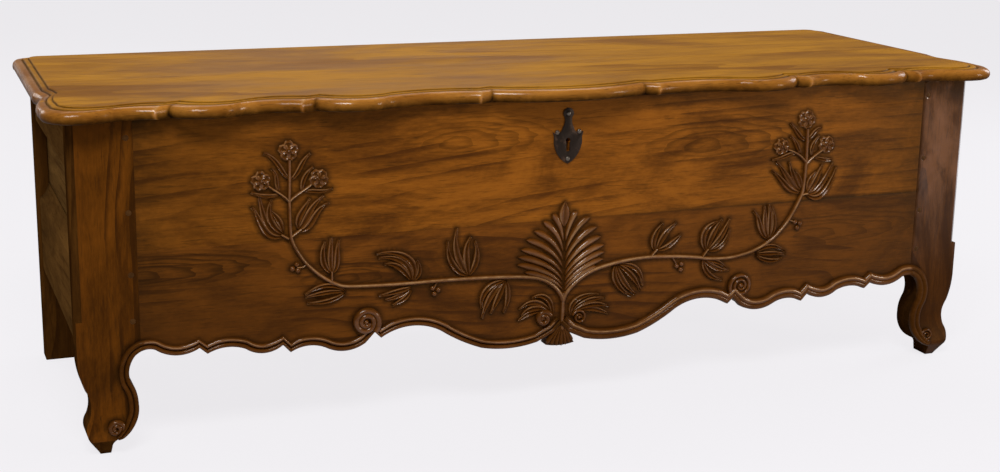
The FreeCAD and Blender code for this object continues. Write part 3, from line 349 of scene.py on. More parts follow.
planed = dict(gloss=0.62, shine=0.10, tint=(1.0, 0.8, 0.6), bump=0.3)
plain_wood = cherry(
    "planed_board", (0.300, 0.160, 0.062), (0.140, 0.066, 0.024), shift=(0.7, 0.9, 0.1), **planed)
plain_second_wood = cherry(
    "planed_second_board", (0.240, 0.125, 0.047), (0.108, 0.050, 0.018), shift=(3.1, 0.2, 0.6), **planed)
plain_cross_wood = cherry(
    "planed_cross_board", (0.285, 0.150, 0.058), (0.130, 0.062, 0.022), TURN_Y, (0.2, 0.3, 0.9), **planed)
print("waxed woods:", len([m for m in bpy.data.materials if "cherry" in m.name]))

# %% [markdown]
# ## Forged iron
# The shield, lock and hinges are hand-forged iron under old wax: nearly black, with dull hammer marks and a
# little brown where the wax has gone. The marks could be hammered into the mesh. They are too small to be
# seen from the side, so a bump from fine noise is enough, and a coarser noise spreads the rust.

# %% Iron
def forged_iron(name, clean, rusty, rough):
    """Dark iron; rough is its roughness where the wax is whole."""
    made, tree, shader = new_material(name)
    where = add_node(tree, "TexCoord", {}, "Object")
    rust = remap(tree, noise(tree, where, 45.0, 6.0, 0.65), 0.52, 0.72)
    marks = {"Strength": 0.5, "Distance": BUMP_DEPTH, "Height": noise(tree, where, 120.0, 3.0)}
    feed(tree, shader, {
        "Base Color": blend(tree, rust, clean + (1,), rusty + (1,)),
        "Roughness": remap(tree, rust, 0.0, 1.0, rough, rough + 0.3),
        "Metallic": remap(tree, rust, 0.0, 1.0, 0.85, 0.35),
        "Normal": add_node(tree, "Bump", marks),
    })
    return made


iron = forged_iron("forged_iron", (0.021, 0.0135, 0.0092), (0.052, 0.022, 0.009), 0.40)
nail_iron = forged_iron("rubbed_iron", (0.11, 0.092, 0.074), (0.08, 0.045, 0.024), 0.30)
print("iron:", iron.name, nail_iron.name)

# %% [markdown]
# ## Working by hand
# Operators act on whatever is selected, as the mouse does. A mesh could also be written as bare lists of
# points, but operators stay close to what a learner does in the window. So each step starts from an empty
# selection and names the one object that it works on.

# %% Selecting and editing
def only(obj):
    """Selects one object and makes it the active one."""
    bpy.ops.object.select_all(action="DESELECT")
    obj.select_set(True)
    bpy.context.view_layer.objects.active = obj


def copy_of(obj, name):
    """A copy with a mesh of its own."""
    made = obj.copy()
    made.data = obj.data.copy()
    made.name = name
    bpy.context.scene.collection.objects.link(made)
    return made


def edit_all(piece):
    """Opens a piece for editing with everything selected."""
    only(piece)
    bpy.ops.object.mode_set(mode="EDIT")
    bpy.ops.mesh.select_all(action="SELECT")


def close_edit():
    """Turns all faces outwards and leaves edit mode."""
    bpy.ops.mesh.select_all(action="SELECT")
    bpy.ops.mesh.normals_make_consistent(inside=False)
    bpy.ops.object.mode_set(mode="OBJECT")


bpy.ops.object.select_all(action="DESELECT")
print("selected at the start:", len(bpy.context.selected_objects))

# %% Edges and finishes
ROUND_STEPS = 2


def bake_modifier(obj, kind, **settings):
    """Adds a modifier, sets it up and applies it."""
    only(obj)
    made = obj.modifiers.new(kind.title(), kind)
    for name, value in settings.items():
        setattr(made, name, value)
    bpy.ops.object.modifier_apply(modifier=made.name)


def ease(obj, width, angle, **settings):
    """Rounds every edge that is sharper than an angle."""
    bake_modifier(obj, "BEVEL", width=width, segments=ROUND_STEPS, limit_method="ANGLE",
                  angle_limit=math.radians(angle), **settings)


def smooth(obj, angle):
    """Shades a piece smooth, apart from edges sharper than an angle."""
    only(obj)
    bpy.ops.object.shade_smooth_by_angle(angle=math.radians(angle))


def paint(piece, *materials):
    """Gives a piece its finishes, in order."""
    piece.data.materials.clear()
    for material in materials:
        piece.data.materials.append(material)


print("flat faces on each eased edge:", ROUND_STEPS)

# %% [markdown]
# ## Boards, posts and ironwork with their edges eased
# A planed edge is never sharp after two hundred years. The boards could be drawn again, but the measured
# solids are already right. So each one is copied, its loose triangles are merged, flat faces are cleaned up,
# and a small bevel eases the edges so that they catch the light. The copy stands for the solid, which stays in
# the scene, hidden. The plain bead of the apron is pressed flat in the copy, because a finer one is laid there.

# %% Eased copies of the solids
VOLUTE_X, VOLUTE_Z, VOLUTE_RADIUS = 0.3896, 0.193, 0.0245
MERGE = 0.00002


def flatten_bead(piece):
    """Presses the apron's plain bead into the board, but leaves its volutes."""
    for vertex in piece.data.vertices:
        off_volute = math.hypot(abs(vertex.co.x) - VOLUTE_X, vertex.co.z - VOLUTE_Z) > VOLUTE_RADIUS
        if off_volute and vertex.co.y < FRONT_Y:
            vertex.co.y = FRONT_Y


def eased(node, material, width):
    """A cleaned, bevelled copy of a measured solid, which then stands for it."""
    piece = copy_of(nodes[node], "worn_" + node)
    body = nodes[node]["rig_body"]
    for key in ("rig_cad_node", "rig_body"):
        if key in piece:
            del piece[key]
    piece.parent = None
    paint(piece, material)
    if node == "front_board_lower":
        flatten_bead(piece)
    edit_all(piece)
    bpy.ops.mesh.remove_doubles(threshold=MERGE)
    bpy.ops.mesh.dissolve_degenerate(threshold=MERGE)
    bpy.ops.mesh.dissolve_limited(angle_limit=math.radians(0.4))
    close_edit()
    if "custom_normal" in piece.data.attributes:
        bpy.ops.mesh.customdata_custom_splitnormals_clear()
    if width:
        ease(piece, width, 40, use_clamp_overlap=True, miter_outer="MITER_ARC")
    smooth(piece, 35)
    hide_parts(node)
    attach(piece, body)
    return piece


def both(name):
    return [name + "_left", name + "_right"]


worn = {}
for material, slot, width, names in (
    (front_upper_wood, "front_wood", 0.0008, ["front_board_upper"]),
    (front_lower_wood, "front_wood", 0.0008, ["front_board_lower"]),
    (stile_wood, "front_wood", 0.0032, ["front_stile_left"]),
    (right_stile_wood, "front_wood", 0.0032, ["front_stile_right"]),
    (post_wood, "side_wood", 0.002, both("rear_post")),
    (side_wood, "side_wood", 0.0015, both("side_top_rail") + both("side_bottom_rail")),
    (panel_wood, "side_wood", 0.001, both("side_panel")),
    (plain_wood, "plain_wood", 0.001, ["back_board_upper", "floor_board_front", "floor_board_third"]),
    (plain_second_wood, "plain_wood", 0.001, ["back_board_lower", "floor_board_second", "floor_board_rear"]),
    (plain_cross_wood, "plain_wood", 0.002, both("floor_bearer") + both("lid_batten")),
    (plain_cross_wood, "plain_wood", 0.002, ["floor_bearer_middle"]),
    (peg_wood, "peg_wood", 0.0006, both("front_pegs")),
    (iron, "iron", 0.0004, ["lock_plate"] + both("hinge_plate") + both("hinge_strap") + both("hinge_pin")),
    (iron, "iron", 0.0005, ["lock_bolt", "lid_staple"]),
    (iron, "iron", 0.0008, ["lock_case"]),
    (iron, "iron", 0.0, ["lock_nails", "staple_nails", "hinge_plate_nails", "hinge_strap_nails"]),
    (nail_iron, "iron", 0.0, ["escutcheon_nails"]),
):
    for node in names:
        worn[node] = eased(node, material, width)
print("eased copies:", len(worn))

# %% [markdown]
# ## Two finishes on one board
# A joiner waxes what shows. The insides of the chest stay bare, and the stiles are polished in front and dull
# at their sides. A board could be split in two for this, but a second finish on the faces that look the right
# way leaves it one piece.

# %% Second finishes
SQUARE_ON = 0.9


def second_finish(piece, material, wanted):
    """Gives a second finish to the faces whose direction passes a test."""
    piece.data.materials.append(material)
    for face in piece.data.polygons:
        face.material_index = 1 if wanted(face.normal) else 0
    print(piece.name, sum(face.material_index for face in piece.data.polygons), "faces in", material.name)


for node, forward in (("front_stile_left", SQUARE_ON), ("front_stile_right", 0.3)):
    second_finish(worn[node], post_wood, lambda normal: normal.y >= -forward)
for node, bare in (("front_board_upper", plain_wood), ("front_board_lower", plain_second_wood)):
    second_finish(worn[node], bare, lambda normal: normal.y > SQUARE_ON)
for name in ("side_panel", "side_top_rail", "side_bottom_rail"):
    for node, inward in zip(both(name), (1, -1)):
        second_finish(worn[node], plain_cross_wood, lambda normal: normal.x * inward > SQUARE_ON)

# %% [markdown]
# ## Lines and strips
# A moulding, a stem or a leaf is a strip that follows a line. A curve object with a bevel could make it, but
# its section is the same all along. Here a line is drawn as straight runs and arcs through a point, the way a
# joiner sets it out with a bent lath, and a flat grid is laid along it, with a value of painted shade for every
# point that turns into a painted highlight below zero.

# %% Line and strip helpers
def arc_points(a, m, b, step):
    """Points on the circle through three points, about one every step."""
    ax, ay, bx, by, cx, cy = *a, *m, *b
    aa, bb, cc = ax * ax + ay * ay, bx * bx + by * by, cx * cx + cy * cy
    d = 2 * (ax * (by - cy) + bx * (cy - ay) + cx * (ay - by))
    ux = (aa * (by - cy) + bb * (cy - ay) + cc * (ay - by)) / d
    uy = (aa * (cx - bx) + bb * (ax - cx) + cc * (bx - ax)) / d
    radius = math.hypot(ax - ux, ay - uy)
    first = math.atan2(ay - uy, ax - ux)
    middle = (math.atan2(by - uy, bx - ux) - first) % math.tau
    last = (math.atan2(cy - uy, cx - ux) - first) % math.tau
    turn = last if middle < last else last - math.tau
    count = max(3, int(abs(turn) * radius / step))
    angles = [first + turn * i / count for i in range(1, count + 1)]
    return [(ux + radius * math.cos(angle), uy + radius * math.sin(angle)) for angle in angles]


def trace(start, steps, step):
    """A line as points: a step is one point for a straight run, or two for an arc."""
    points = [start]
    for move in steps:
        if len(move) == 2:
            points += arc_points(points[-1], *move, step)
        else:
            first, last = Vector(points[-1]), Vector(move[0])
            count = max(2, int((last - first).length / step))
            points += [tuple(first.lerp(last, i / count)) for i in range(1, count + 1)]
    return points


def added(name, operator, **settings):
    """Adds one primitive with nothing else selected, and names it."""
    bpy.ops.object.select_all(action="DESELECT")
    operator(**settings)
    made = bpy.context.active_object
    made.name = name
    return made


def strip(name, rows, cols, place):
    """A strip of rows and columns: place(t, u) gives a point in metres and the painted shade there, below zero
    a painted highlight.
    """
    piece = added(name, bpy.ops.mesh.primitive_grid_add, x_subdivisions=rows, y_subdivisions=cols, size=1.0)
    grime_and_painted_light = piece.data.attributes.new("grime_and_painted_light", "FLOAT", "POINT")
    for vertex in piece.data.vertices:
        co, hollow = place(vertex.co.x + 0.5, vertex.co.y * 2.0)
        grime_and_painted_light.data[vertex.index].value = min(1.0, max(-1.0, hollow))
        vertex.co = co
    return piece


quarter = arc_points((100, 0), (100 * math.sqrt(0.5), 100 * math.sqrt(0.5)), (0, 100), 4.0)
print("points on a quarter circle of 100 mm:", len(quarter))

# %% [markdown]
# ## The keyhole shield
# The shield is cut from iron sheet: a round head on a narrow neck, two pointed ears and a body that tapers to
# a point. It could be built of joined plates, but a smith saws one outline. So half of the outline is drawn,
# mirrored, filled and given the sheet's thickness, and the keyhole is then cut through it.

# %% Keyhole shield
SHIELD = [
    ((-15, 11), (-26, 30)), ((-28.4, 40), (-28, 50)), ((-31, 61),), ((-20, 58.5), (-11.5, 68)),
    ((-7.8, 76), (-7.4, 88.3)), ((-10.4, 95.6), (0, 106)),
]
KEY_TOP, KEY_FOOT = 0.511, 0.491
KEY_RADIUS, KEY_WIDTH, CUT_DEPTH = 0.005, 0.007, 0.03
sheet_low, sheet_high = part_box("escutcheon")
shield_x = (sheet_low.x + sheet_high.x) / 2
half_outline = trace((0, 0), SHIELD, 2.0)
outline = half_outline + [(-x, z) for x, z in reversed(half_outline[1:-1])]
shield = added("keyhole_shield", bpy.ops.mesh.primitive_circle_add, vertices=len(outline), fill_type="NGON")
for vertex, (x, z) in zip(shield.data.vertices, outline):
    vertex.co = (shield_x + x * MM, sheet_low.y, sheet_low.z + z * MM)
edit_all(shield)
bpy.ops.mesh.extrude_region_move(TRANSFORM_OT_translate={"value": (0, sheet_high.y - sheet_low.y, 0)})
close_edit()
bow = added("key_bow", bpy.ops.mesh.primitive_cylinder_add, vertices=24, radius=KEY_RADIUS, depth=CUT_DEPTH,
            location=(shield_x, FRONT_Y, KEY_TOP), rotation=(math.radians(90), 0, 0))
slit = added("key_slit", bpy.ops.mesh.primitive_cube_add, size=1.0,
             location=(shield_x, FRONT_Y, (KEY_TOP + KEY_FOOT) / 2),
             scale=(KEY_WIDTH, CUT_DEPTH, KEY_TOP - KEY_FOOT))
for cutter in (bow, slit):
    only(cutter)
    bpy.ops.object.transform_apply(location=True, rotation=True, scale=True)
    bake_modifier(shield, "BOOLEAN", operation="DIFFERENCE", object=cutter, solver="EXACT")
    bpy.data.objects.remove(cutter)
ease(shield, 0.0007, 50)
smooth(shield, 35)
paint(shield, iron)
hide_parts("escutcheon")
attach(shield, "chest")
print("shield faces:", len(shield.data.polygons))

# %% [markdown]
# ## The lid
# The lid's front swings in five shallow waves that meet in small points, and its corners swell into round
# lobes. All round runs one moulding: a fat thumb, a quirk, a fine fillet, a second quirk and then the flat
# field. A bevel can't give such a section, so it is written as points from below upwards (inset, height,
# painted shade) and swept along the line. The rounded edge is more polished, so its faces are marked for a
# finish of its own.

# %% Lid line and section
LID_START = (154, 21)
LID_EDGE = [
    ((180, 32),), ((265.3, 20), (353, 35.1)), ((436, 49.1), (484, 21)), ((509.8, 32),),
    ((564.5, 20), (621.2, 34)), ((689, 48), (737, 21)), ((762.8, 32),), ((803.3, 26.5), (844, 36.7)),
    ((878, 46.4), (912, 44.3)), ((938.8, 19.8), (944, -12)), ((942.2, -81), (930.4, -123)),
    ((932.4, -150), (938.8, -180)), ((934.4, -585),), ((930, -606), (915, -614)),
]
LID_MIDDLE = (0, 54)
LID_STEP = 5.0
CREASES = (154, 484, 737)
POINTS = (180, 509.8, 762.8)
# Each point is inset, height and painted shade; the thumb's underside and the two quirks are painted darker.
LID_SECTION = [
    (70, 0, 0), (12, 0, 0.5), (7, 0.5, 0.9), (3.4, 2.2, 0.88), (1.2, 5, 0.80), (0.1, 9, 0.62), (0.3, 13, 0.40),
    (1.6, 17, 0.16), (4.4, 20.4, 0), (8.4, 22.6, 0), (13, 23.2, 0), (16.4, 22.2, 0.25), (18.3, 20.8, 0.7),
    (19.4, 20.2, 0.85), (20.4, 20.8, 0.7), (21.2, 22.8, 0.35), (22.8, 23.9, 0.05), (27, 24.2, 0.05),
    (29.4, 23.5, 0.3), (30.6, 22.5, 0.8), (31.5, 22.9, 0.7), (32.2, 25.2, 0.3), (33.6, 26.0, 0), (38, 26.0, 0),
]
NOSING_INSET = 18.3
CREASE_INSET = 18
right_half = trace(LID_START, LID_EDGE, LID_STEP)
middle = arc_points((-LID_START[0], LID_START[1]), LID_MIDDLE, LID_START, LID_STEP)
lid_line = [(-x, out) for x, out in reversed(right_half)] + middle[:-1] + right_half
lid_rows, lid_cols = len(lid_line) - 1, len(LID_SECTION) - 1
print("lid line points:", len(lid_line))

# %% Sweep the lid's edge
lid_low, lid_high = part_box("lid_board_front")
lid_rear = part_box("lid_board_rear")[1].y


def lid_place(t, u):
    x, out = lid_line[round(t * lid_rows)]
    inset, up, grime_and_painted_light = LID_SECTION[round((u + 1) / 2 * lid_cols)]
    y = FRONT_Y - out * MM
    drawn_y = y + inset * MM * (lid_rear - y) / (lid_rear - lid_low.y)
    # Painted shade in the inner crease beside each point, and a painted highlight along the point itself.
    if inset < CREASE_INSET and out > 0:
        grime_and_painted_light += 0.5 * max(math.exp(-((abs(x) - crease) / 4.0) ** 2) for crease in CREASES)
        grime_and_painted_light -= 0.6 * max(math.exp(-((abs(x) - point) / 3.0) ** 2) for point in POINTS)
    return (x * MM * (lid_high.x - inset * MM) / lid_high.x, drawn_y, lid_low.z + up * MM), grime_and_painted_light


def spot_key(co):
    return tuple(round(c, 5) for c in co)


def swept(share):
    """The points that one place of the section passes through."""
    return {spot_key(lid_place(t / lid_rows, share)[0]) for t in range(lid_rows + 1)}


slab = strip("lid_slab", lid_rows, lid_cols, lid_place)
rolled = set()
for i, (inset, _, _) in enumerate(LID_SECTION):
    if 1 < i and inset <= NOSING_INSET:
        rolled |= swept(2 * i / lid_cols - 1)
for face in slab.data.polygons:
    face.material_index = int(rolled.issuperset(spot_key(slab.data.vertices[i].co) for i in face.vertices))
print("lid edge:", len(slab.data.polygons), "faces")

# %% [markdown]
# The sweep leaves the slab open above, below and behind. Each opening is one loop of edges, which is picked by
# its points and filled with one face. The real lid is two boards glued side by side, so the slab is sawn.

# %% Close the slab and saw it into boards
SAW_CUT = 0.0002


def fill_where(piece, wanted):
    """Fills the loop of open edges whose points pass a test."""
    edit_all(piece)
    bpy.ops.mesh.select_mode(type="VERT")
    bpy.ops.mesh.select_all(action="DESELECT")
    bpy.ops.object.mode_set(mode="OBJECT")
    for vertex in piece.data.vertices:
        vertex.select = wanted(vertex.co)
    bpy.ops.object.mode_set(mode="EDIT")
    bpy.ops.mesh.edge_face_add()
    bpy.ops.object.mode_set(mode="OBJECT")


def saw(name, y, keep_front, material, node):
    """Keeps the part of the slab in front of a cut, or behind it."""
    made = copy_of(slab, name)
    edit_all(made)
    bpy.ops.mesh.bisect(plane_co=(0, y, 0), plane_no=(0, 1, 0), use_fill=True,
                        clear_outer=keep_front, clear_inner=not keep_front)
    close_edit()
    ease(made, 0.0009, 75)
    smooth(made, 30)
    kinds = [face.material_index for face in made.data.polygons]
    paint(made, material, nosing_wood, plain_wood)
    for face, kind in zip(made.data.polygons, kinds):
        face.material_index = 2 if face.normal.z < -SQUARE_ON else kind
    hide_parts(node)
    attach(made, "lid")
    print(name, len(made.data.polygons), "faces")


for rim in (swept(1.0), swept(-1.0)):
    fill_where(slab, lambda co: spot_key(co) in rim)
fill_where(slab, lambda co: co.y > lid_rear - 0.00001)
saw("lid_front_plank", lid_high.y - SAW_CUT, True, lid_front_wood, "lid_board_front")
saw("lid_rear_plank", lid_high.y + SAW_CUT, False, lid_rear_wood, "lid_board_rear")
bpy.data.objects.remove(slab)

# %% [markdown]
# ## A chisel stroke
# Everything carved on the front is built from a few strokes that lie on the board and sink into it at their
# edges: a lobe of a leaf with a vein, a round stem that tapers, and a berry. The relief could be sculpted, but
# a carver repeats the same few cuts, and a stroke that is drawn once can be laid along any line.

# %% Lines on the front
SINK = 1.5


def path_point(points, share):
    """A point on a smooth line: through many points, or pulled by four."""
    if len(points) > 4:
        place = share * (len(points) - 1)
        index = min(int(place), len(points) - 2)
        t = place - index
        ends = (max(index - 1, 0), index, index + 1, min(index + 2, len(points) - 1))
        a, b, c, d = (Vector(points[i]) for i in ends)
        square, cube = 2 * a - 5 * b + 4 * c - d, 3 * b - a - 3 * c + d
        return 0.5 * ((2 * b) + (c - a) * t + square * t * t + cube * t ** 3)
    layer = [Vector(p) for p in points]
    while len(layer) > 1:
        layer = [p.lerp(q, share) for p, q in zip(layer[:-1], layer[1:])]
    return layer[0]


def across(points, t):
    """The place on a line and the direction across it."""
    ahead = path_point(points, min(t + 0.015, 1.0)) - path_point(points, max(t - 0.015, 0.0))
    return path_point(points, t), Vector((-ahead.y, ahead.x)).normalized()


def on_front(x, z, rise):
    """A point of the front in millimetres, and how far it stands proud."""
    return (x * MM, FRONT_Y - rise * MM, z * MM)


def hump(value, middle, width):
    """A soft bump of height 1 round a middle."""
    return math.exp(-(((value - middle) / width) ** 2))


print("halfway along a bent line:", tuple(path_point([(0, 0), (0, 10), (10, 20), (20, 20)], 0.5)))

# %% Lobes of leaves
RIM, RIM_WIDTH = 0.714, 0.11
LOBE_RISE, LEAF_RISE = 8.0, 8.5


def lobe(points, width, rise=LOBE_RISE, vein=0.66, fullest=0.45, tip=0.75, rows=14, sink=SINK, root=0.35,
         ground=0.0, edge=6, highlight=0.62):
    """One lobe of a leaf: widest at a share of its length, pointed at its end, with a vein."""
    def place(t, u):
        here, side = across(points, t)
        if t < fullest:
            swell = root + (1 - root) * math.sin(math.pi / 2 * t / fullest)
        else:
            swell = math.cos(math.pi / 2 * (t - fullest) / (1 - fullest)) ** tip
        crown = max(1 - abs(u) ** (4.0 if vein else 2.6), 0.0)
        high = rise * (0.55 + 0.45 * math.sin(math.pi * min(t * 0.9 + 0.08, 1.0)))
        up = high * crown * (1 - vein * hump(u, 0, 0.42)) - sink * (1 - crown)
        spot = here + side * max(width / 2 * swell, 0.5) * u
        # Painted shade at the edges, in the vein and at the root, and ground darkens the whole lobe; bare is a
        # painted highlight.
        dark = max(0.9 * abs(u) ** edge, 0.95 * vein * hump(u, 0, 0.36), 0.7 * max(0.0, 1 - t * 7), ground)
        if vein:
            # The rim that looks up and to the left gets the strongest painted highlight.
            bare = hump(abs(u), RIM, RIM_WIDTH) * (0.60 + 0.40 * math.copysign(1, u * (side.y - 0.4 * side.x)))
        else:
            bare = hump(u, 0, 0.4) * math.sin(math.pi * min(1.0, t * 0.95 + 0.05))
        return on_front(spot.x, spot.y, up), dark - highlight * bare
    return strip("lobe", rows, 14, place)


def leaf(*lobes):
    """Lobes over a low pad that fills the leaf between them; a lobe is its width and four points."""
    parts = []
    for i, (width, *points) in enumerate(lobes):
        high = LEAF_RISE * (1.0 if i % 2 == 0 else 0.78)
        parts.append(lobe(points, width * 1.05, rise=high, fullest=0.42, tip=0.95, ground=0.15))
    (first_width, *first), (last_width, *last) = lobes[0], lobes[-1]
    middle = [(Vector(a) + Vector(b)) / 2 for a, b in zip(first, last)]
    short = [tuple(middle[0].lerp(spot, 0.78)) for spot in middle]
    spread = ((Vector(first[2]) - Vector(last[2])).length + (first_width + last_width) * 0.3) * 0.75
    # The pad between the lobes is painted dark as shade.
    parts.append(lobe(short, spread, rise=LEAF_RISE * 0.25, vein=0.0, fullest=0.55, tip=0.6, ground=0.85,
                      highlight=0.0))
    return parts


print("a single lobe stands", LOBE_RISE, "mm proud, a lobe of a leaf", LEAF_RISE)

# %% Stems and berries
STEM_RISE, BERRY_RISE = 7.5, 6.0


def stem(width, end_width, rows, points, rise=STEM_RISE):
    """A round stem that tapers to its end, with a painted highlight above and painted shade below."""
    def place(t, u):
        here, side = across(points, t)
        crown = math.sqrt(max(1 - u * u, 0.0))
        spot = here + side * (width + (end_width - width) * t) / 2 * u
        upper = u * math.copysign(1, side.y)
        bare = (0.18 + 0.50 * abs(side.y)) * hump(upper, 0.30, 0.28)
        dark = max(0.9 * abs(u) ** 7, 0.25 * abs(side.y) * max(0.0, -upper))
        return on_front(spot.x, spot.y, rise * crown - SINK * (1 - crown)), dark - bare
    return strip("stem", rows, 6, place)


def ball(centre, radius, rise=BERRY_RISE):
    """A round berry or flower heart: a flattened ball half in the wood."""
    piece = added("ball", bpy.ops.mesh.primitive_uv_sphere_add, segments=14, ring_count=8, radius=radius * MM,
                  location=on_front(*centre, 0))
    piece.scale = (1, rise / radius, 1)
    bpy.ops.object.transform_apply(location=True, rotation=True, scale=True)
    # Painted shade where the ball meets the ground.
    grime_and_painted_light = piece.data.attributes.new("grime_and_painted_light", "FLOAT", "POINT")
    for vertex in piece.data.vertices:
        out = max(0.0, (FRONT_Y - vertex.co.y) / (rise * MM))
        grime_and_painted_light.data[vertex.index].value = 0.9 * max(0.0, 1 - out) ** 2
    return piece


print("a stem stands", STEM_RISE, "mm proud, a berry", BERRY_RISE)

# %% Setting a carving on the chest
BACKING = 2.5


def join(name, parts):
    """Joins pieces into one object."""
    only(parts[0])
    for part in parts:
        part.select_set(True)
    bpy.ops.object.join()
    made = bpy.context.view_layer.objects.active
    made.name = name
    made.data.name = name
    return made


def finish_carving(name, strips, balls=()):
    """Closes the strips behind, joins everything and sets it on the chest."""
    made = join(name, strips)
    bake_modifier(made, "SOLIDIFY", thickness=BACKING * MM, offset=-1.0)
    made = join(name, [made, *balls]) if balls else made
    edit_all(made)
    bpy.ops.mesh.remove_doubles(threshold=MERGE / 2)
    close_edit()
    smooth(made, 50)
    paint(made, carved_wood)
    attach(made, "chest")
    carvings.append(made)
    print(name, len(made.data.polygons), "faces")


carvings = []
print("carved pieces so far:", len(carvings))

# %% [markdown]
# ## The palmette
# In the middle a feathered palmette rises from the apron. Each leaflet leaves the midrib low, runs up beside it
# and bends outwards to its own tip, so that the leaflets lie side by side like the ribs of a shell. One side
# could be mirrored, but the carver's tips are uneven, so each leaflet has its own root and tip. A low pad in
# painted shade lies under them, and the leaflets on the right carry a stronger painted highlight.

# %% Palmette
LEFT_LEAFLETS = [
    ((0, 318), (-22, 371)), ((0, 298), (-41, 358)), ((0, 281), (-59, 341)), ((0, 266), (-74, 325)),
    ((0, 253), (-85, 307)), ((0, 241), (-91, 293)), ((0, 231), (-92, 278)), ((1, 222), (-76, 262)),
]
RIGHT_LEAFLETS = [
    ((5, 318), (28, 373)), ((6, 298), (55, 361)), ((6, 280), (70, 341)), ((6, 264), (79, 321)),
    ((6, 251), (86, 304)), ((6, 240), (87, 290)), ((6, 230), (85, 276)), ((6, 221), (72, 262)),
]
palm = []
# The leaflets on the right get a stronger painted highlight.
for leaflets, highlight in ((LEFT_LEAFLETS, 0.12), (RIGHT_LEAFLETS, 0.45)):
    for root, tip in leaflets:
        run = Vector(tip) - Vector(root)
        knee = (root[0] + run.x * 0.14, root[1] + run.y * 0.46)
        elbow = (root[0] + run.x * 0.55, root[1] + run.y * 0.86)
        palm.append(lobe([root, knee, elbow, tip], 15.5, rise=7.5, vein=0.0, fullest=0.8, tip=0.55, rows=18,
                         root=0.30, edge=4, highlight=highlight))
palm.append(lobe([(1, 346), (1, 360), (2, 378), (3, 394)], 25.0, rise=9.0, vein=0.45, fullest=0.5, tip=0.9,
                 root=0.15))
palm.append(lobe([(3, 215), (3, 260), (2, 330), (2, 385)], 100.0, rise=2.6, vein=0.0, fullest=0.5, tip=0.7,
                 root=0.1, rows=20, ground=0.8, highlight=0.0))
finish_carving("carved_palmette", palm)

# %% [markdown]
# ## Stems, leaves and buds
# Two stems leave the palmette's foot and rise to a spray at each end, with leaves and berries on the way. One
# side could be drawn and mirrored, but they are not mirror images: the carver drew each leaf by eye, so each
# lobe has its own line here. A stem is its two widths, its rows and its points.

# %% Left stem and its leaves
LEFT_STEMS = [
    (11.5, 7.0, 130, [
        (3, 200), (-3, 214), (-15, 229), (-35, 243), (-60, 251), (-100, 256), (-150, 259), (-200, 261),
        (-250, 262), (-300, 262), (-350, 263), (-400, 265), (-425, 267), (-440, 271), (-460, 282), (-480, 297),
        (-500, 317), (-513, 336), (-523, 356), (-527, 378), (-528, 430), (-527, 470), (-527, 506),
    ]),
    (6.0, 5.0, 16, [(-528, 430), (-538, 444), (-550, 449), (-566, 462)]),
    (6.0, 5.0, 16, [(-527, 432), (-516, 444), (-503, 448), (-488, 460)]),
    (6.0, 6.0, 8, [(-531, 364), (-536, 367), (-540, 370), (-544, 372)]),
    (6.0, 6.0, 8, [(-525, 367), (-520, 371), (-514, 375), (-508, 379)]),
    (5.0, 5.0, 8, [(-452, 279), (-452, 284), (-452, 290), (-452, 298)]),
    (4.0, 4.0, 8, [(-516, 309), (-510, 309), (-505, 308), (-500, 312)], 4.0),
    (4.0, 4.0, 8, [(-257, 246), (-256, 250), (-254, 255), (-252, 260)], 4.0),
]
LEFT_LEAVES = [
    [(15, (-540, 369), (-578, 362), (-578, 404), (-595, 425)),
     (15, (-541, 371), (-570, 374), (-576, 412), (-582, 445)),
     (15, (-541, 374), (-562, 388), (-572, 410), (-560, 438)),
     (13, (-540, 377), (-544, 394), (-552, 406), (-563, 418))],
    [(15, (-512, 376), (-484, 378), (-488, 412), (-456, 425)),
     (15, (-512, 379), (-496, 392), (-494, 418), (-465, 438)),
     (14, (-512, 381), (-518, 402), (-500, 414), (-491, 435))],
    [(13, (-453, 295), (-472, 304), (-472, 336), (-464, 354)),
     (13, (-452, 296), (-457, 318), (-452, 340), (-453, 360)),
     (13, (-451, 295), (-437, 304), (-446, 334), (-438, 356))],
    [(10, (-427, 258), (-450, 278), (-478, 274), (-502, 258)),
     (10, (-428, 257), (-456, 261), (-478, 257), (-501, 253)),
     (10, (-428, 255), (-450, 240), (-476, 240), (-498, 242))],
    [(15, (-299, 266), (-284, 300), (-318, 330), (-368, 322)),
     (14, (-301, 267), (-302, 300), (-330, 318), (-364, 314)),
     (14, (-303, 267), (-316, 290), (-334, 304), (-353, 302))],
    [(11, (-302, 254), (-320, 250), (-342, 246), (-364, 243)),
     (11, (-302, 252), (-318, 240), (-334, 236), (-352, 234)),
     (11, (-302, 250), (-310, 234), (-324, 228), (-338, 223))],
    [(15, (-192, 267), (-218, 274), (-232, 302), (-232, 335)),
     (16, (-191, 267), (-208, 290), (-222, 320), (-213, 359)),
     (16, (-190, 267), (-194, 295), (-200, 320), (-186, 341)),
     (14, (-189, 267), (-174, 284), (-168, 306), (-178, 332))],
    [(14, (-117, 250), (-152, 250), (-170, 222), (-162, 200)),
     (15, (-117, 249), (-140, 236), (-154, 212), (-162, 180)),
     (14, (-116, 249), (-126, 228), (-134, 210), (-145, 188)),
     (13, (-114, 249), (-108, 228), (-108, 208), (-119, 187))],
]
LEFT_SPRIGS = [
    (11, (-298, 266), (-286, 274), (-282, 288), (-291, 304)),
    (11, (-527, 472), (-542, 482), (-548, 512), (-572, 520)),
    (11, (-526, 470), (-508, 480), (-508, 502), (-489, 516)),
    (9, (-546, 448), (-554, 464), (-546, 478), (-559, 492)),
    (10, (-505, 447), (-506, 464), (-500, 480), (-484, 491)),
    (8, (-544, 446), (-562, 442), (-578, 444), (-596, 452)),
    (9, (-504, 448), (-486, 450), (-472, 442), (-449, 450)),
]
LEFT_BERRIES = [(-524, 308), (-516, 315), (-514, 304), (-260, 248), (-249, 244), (-257, 237)]


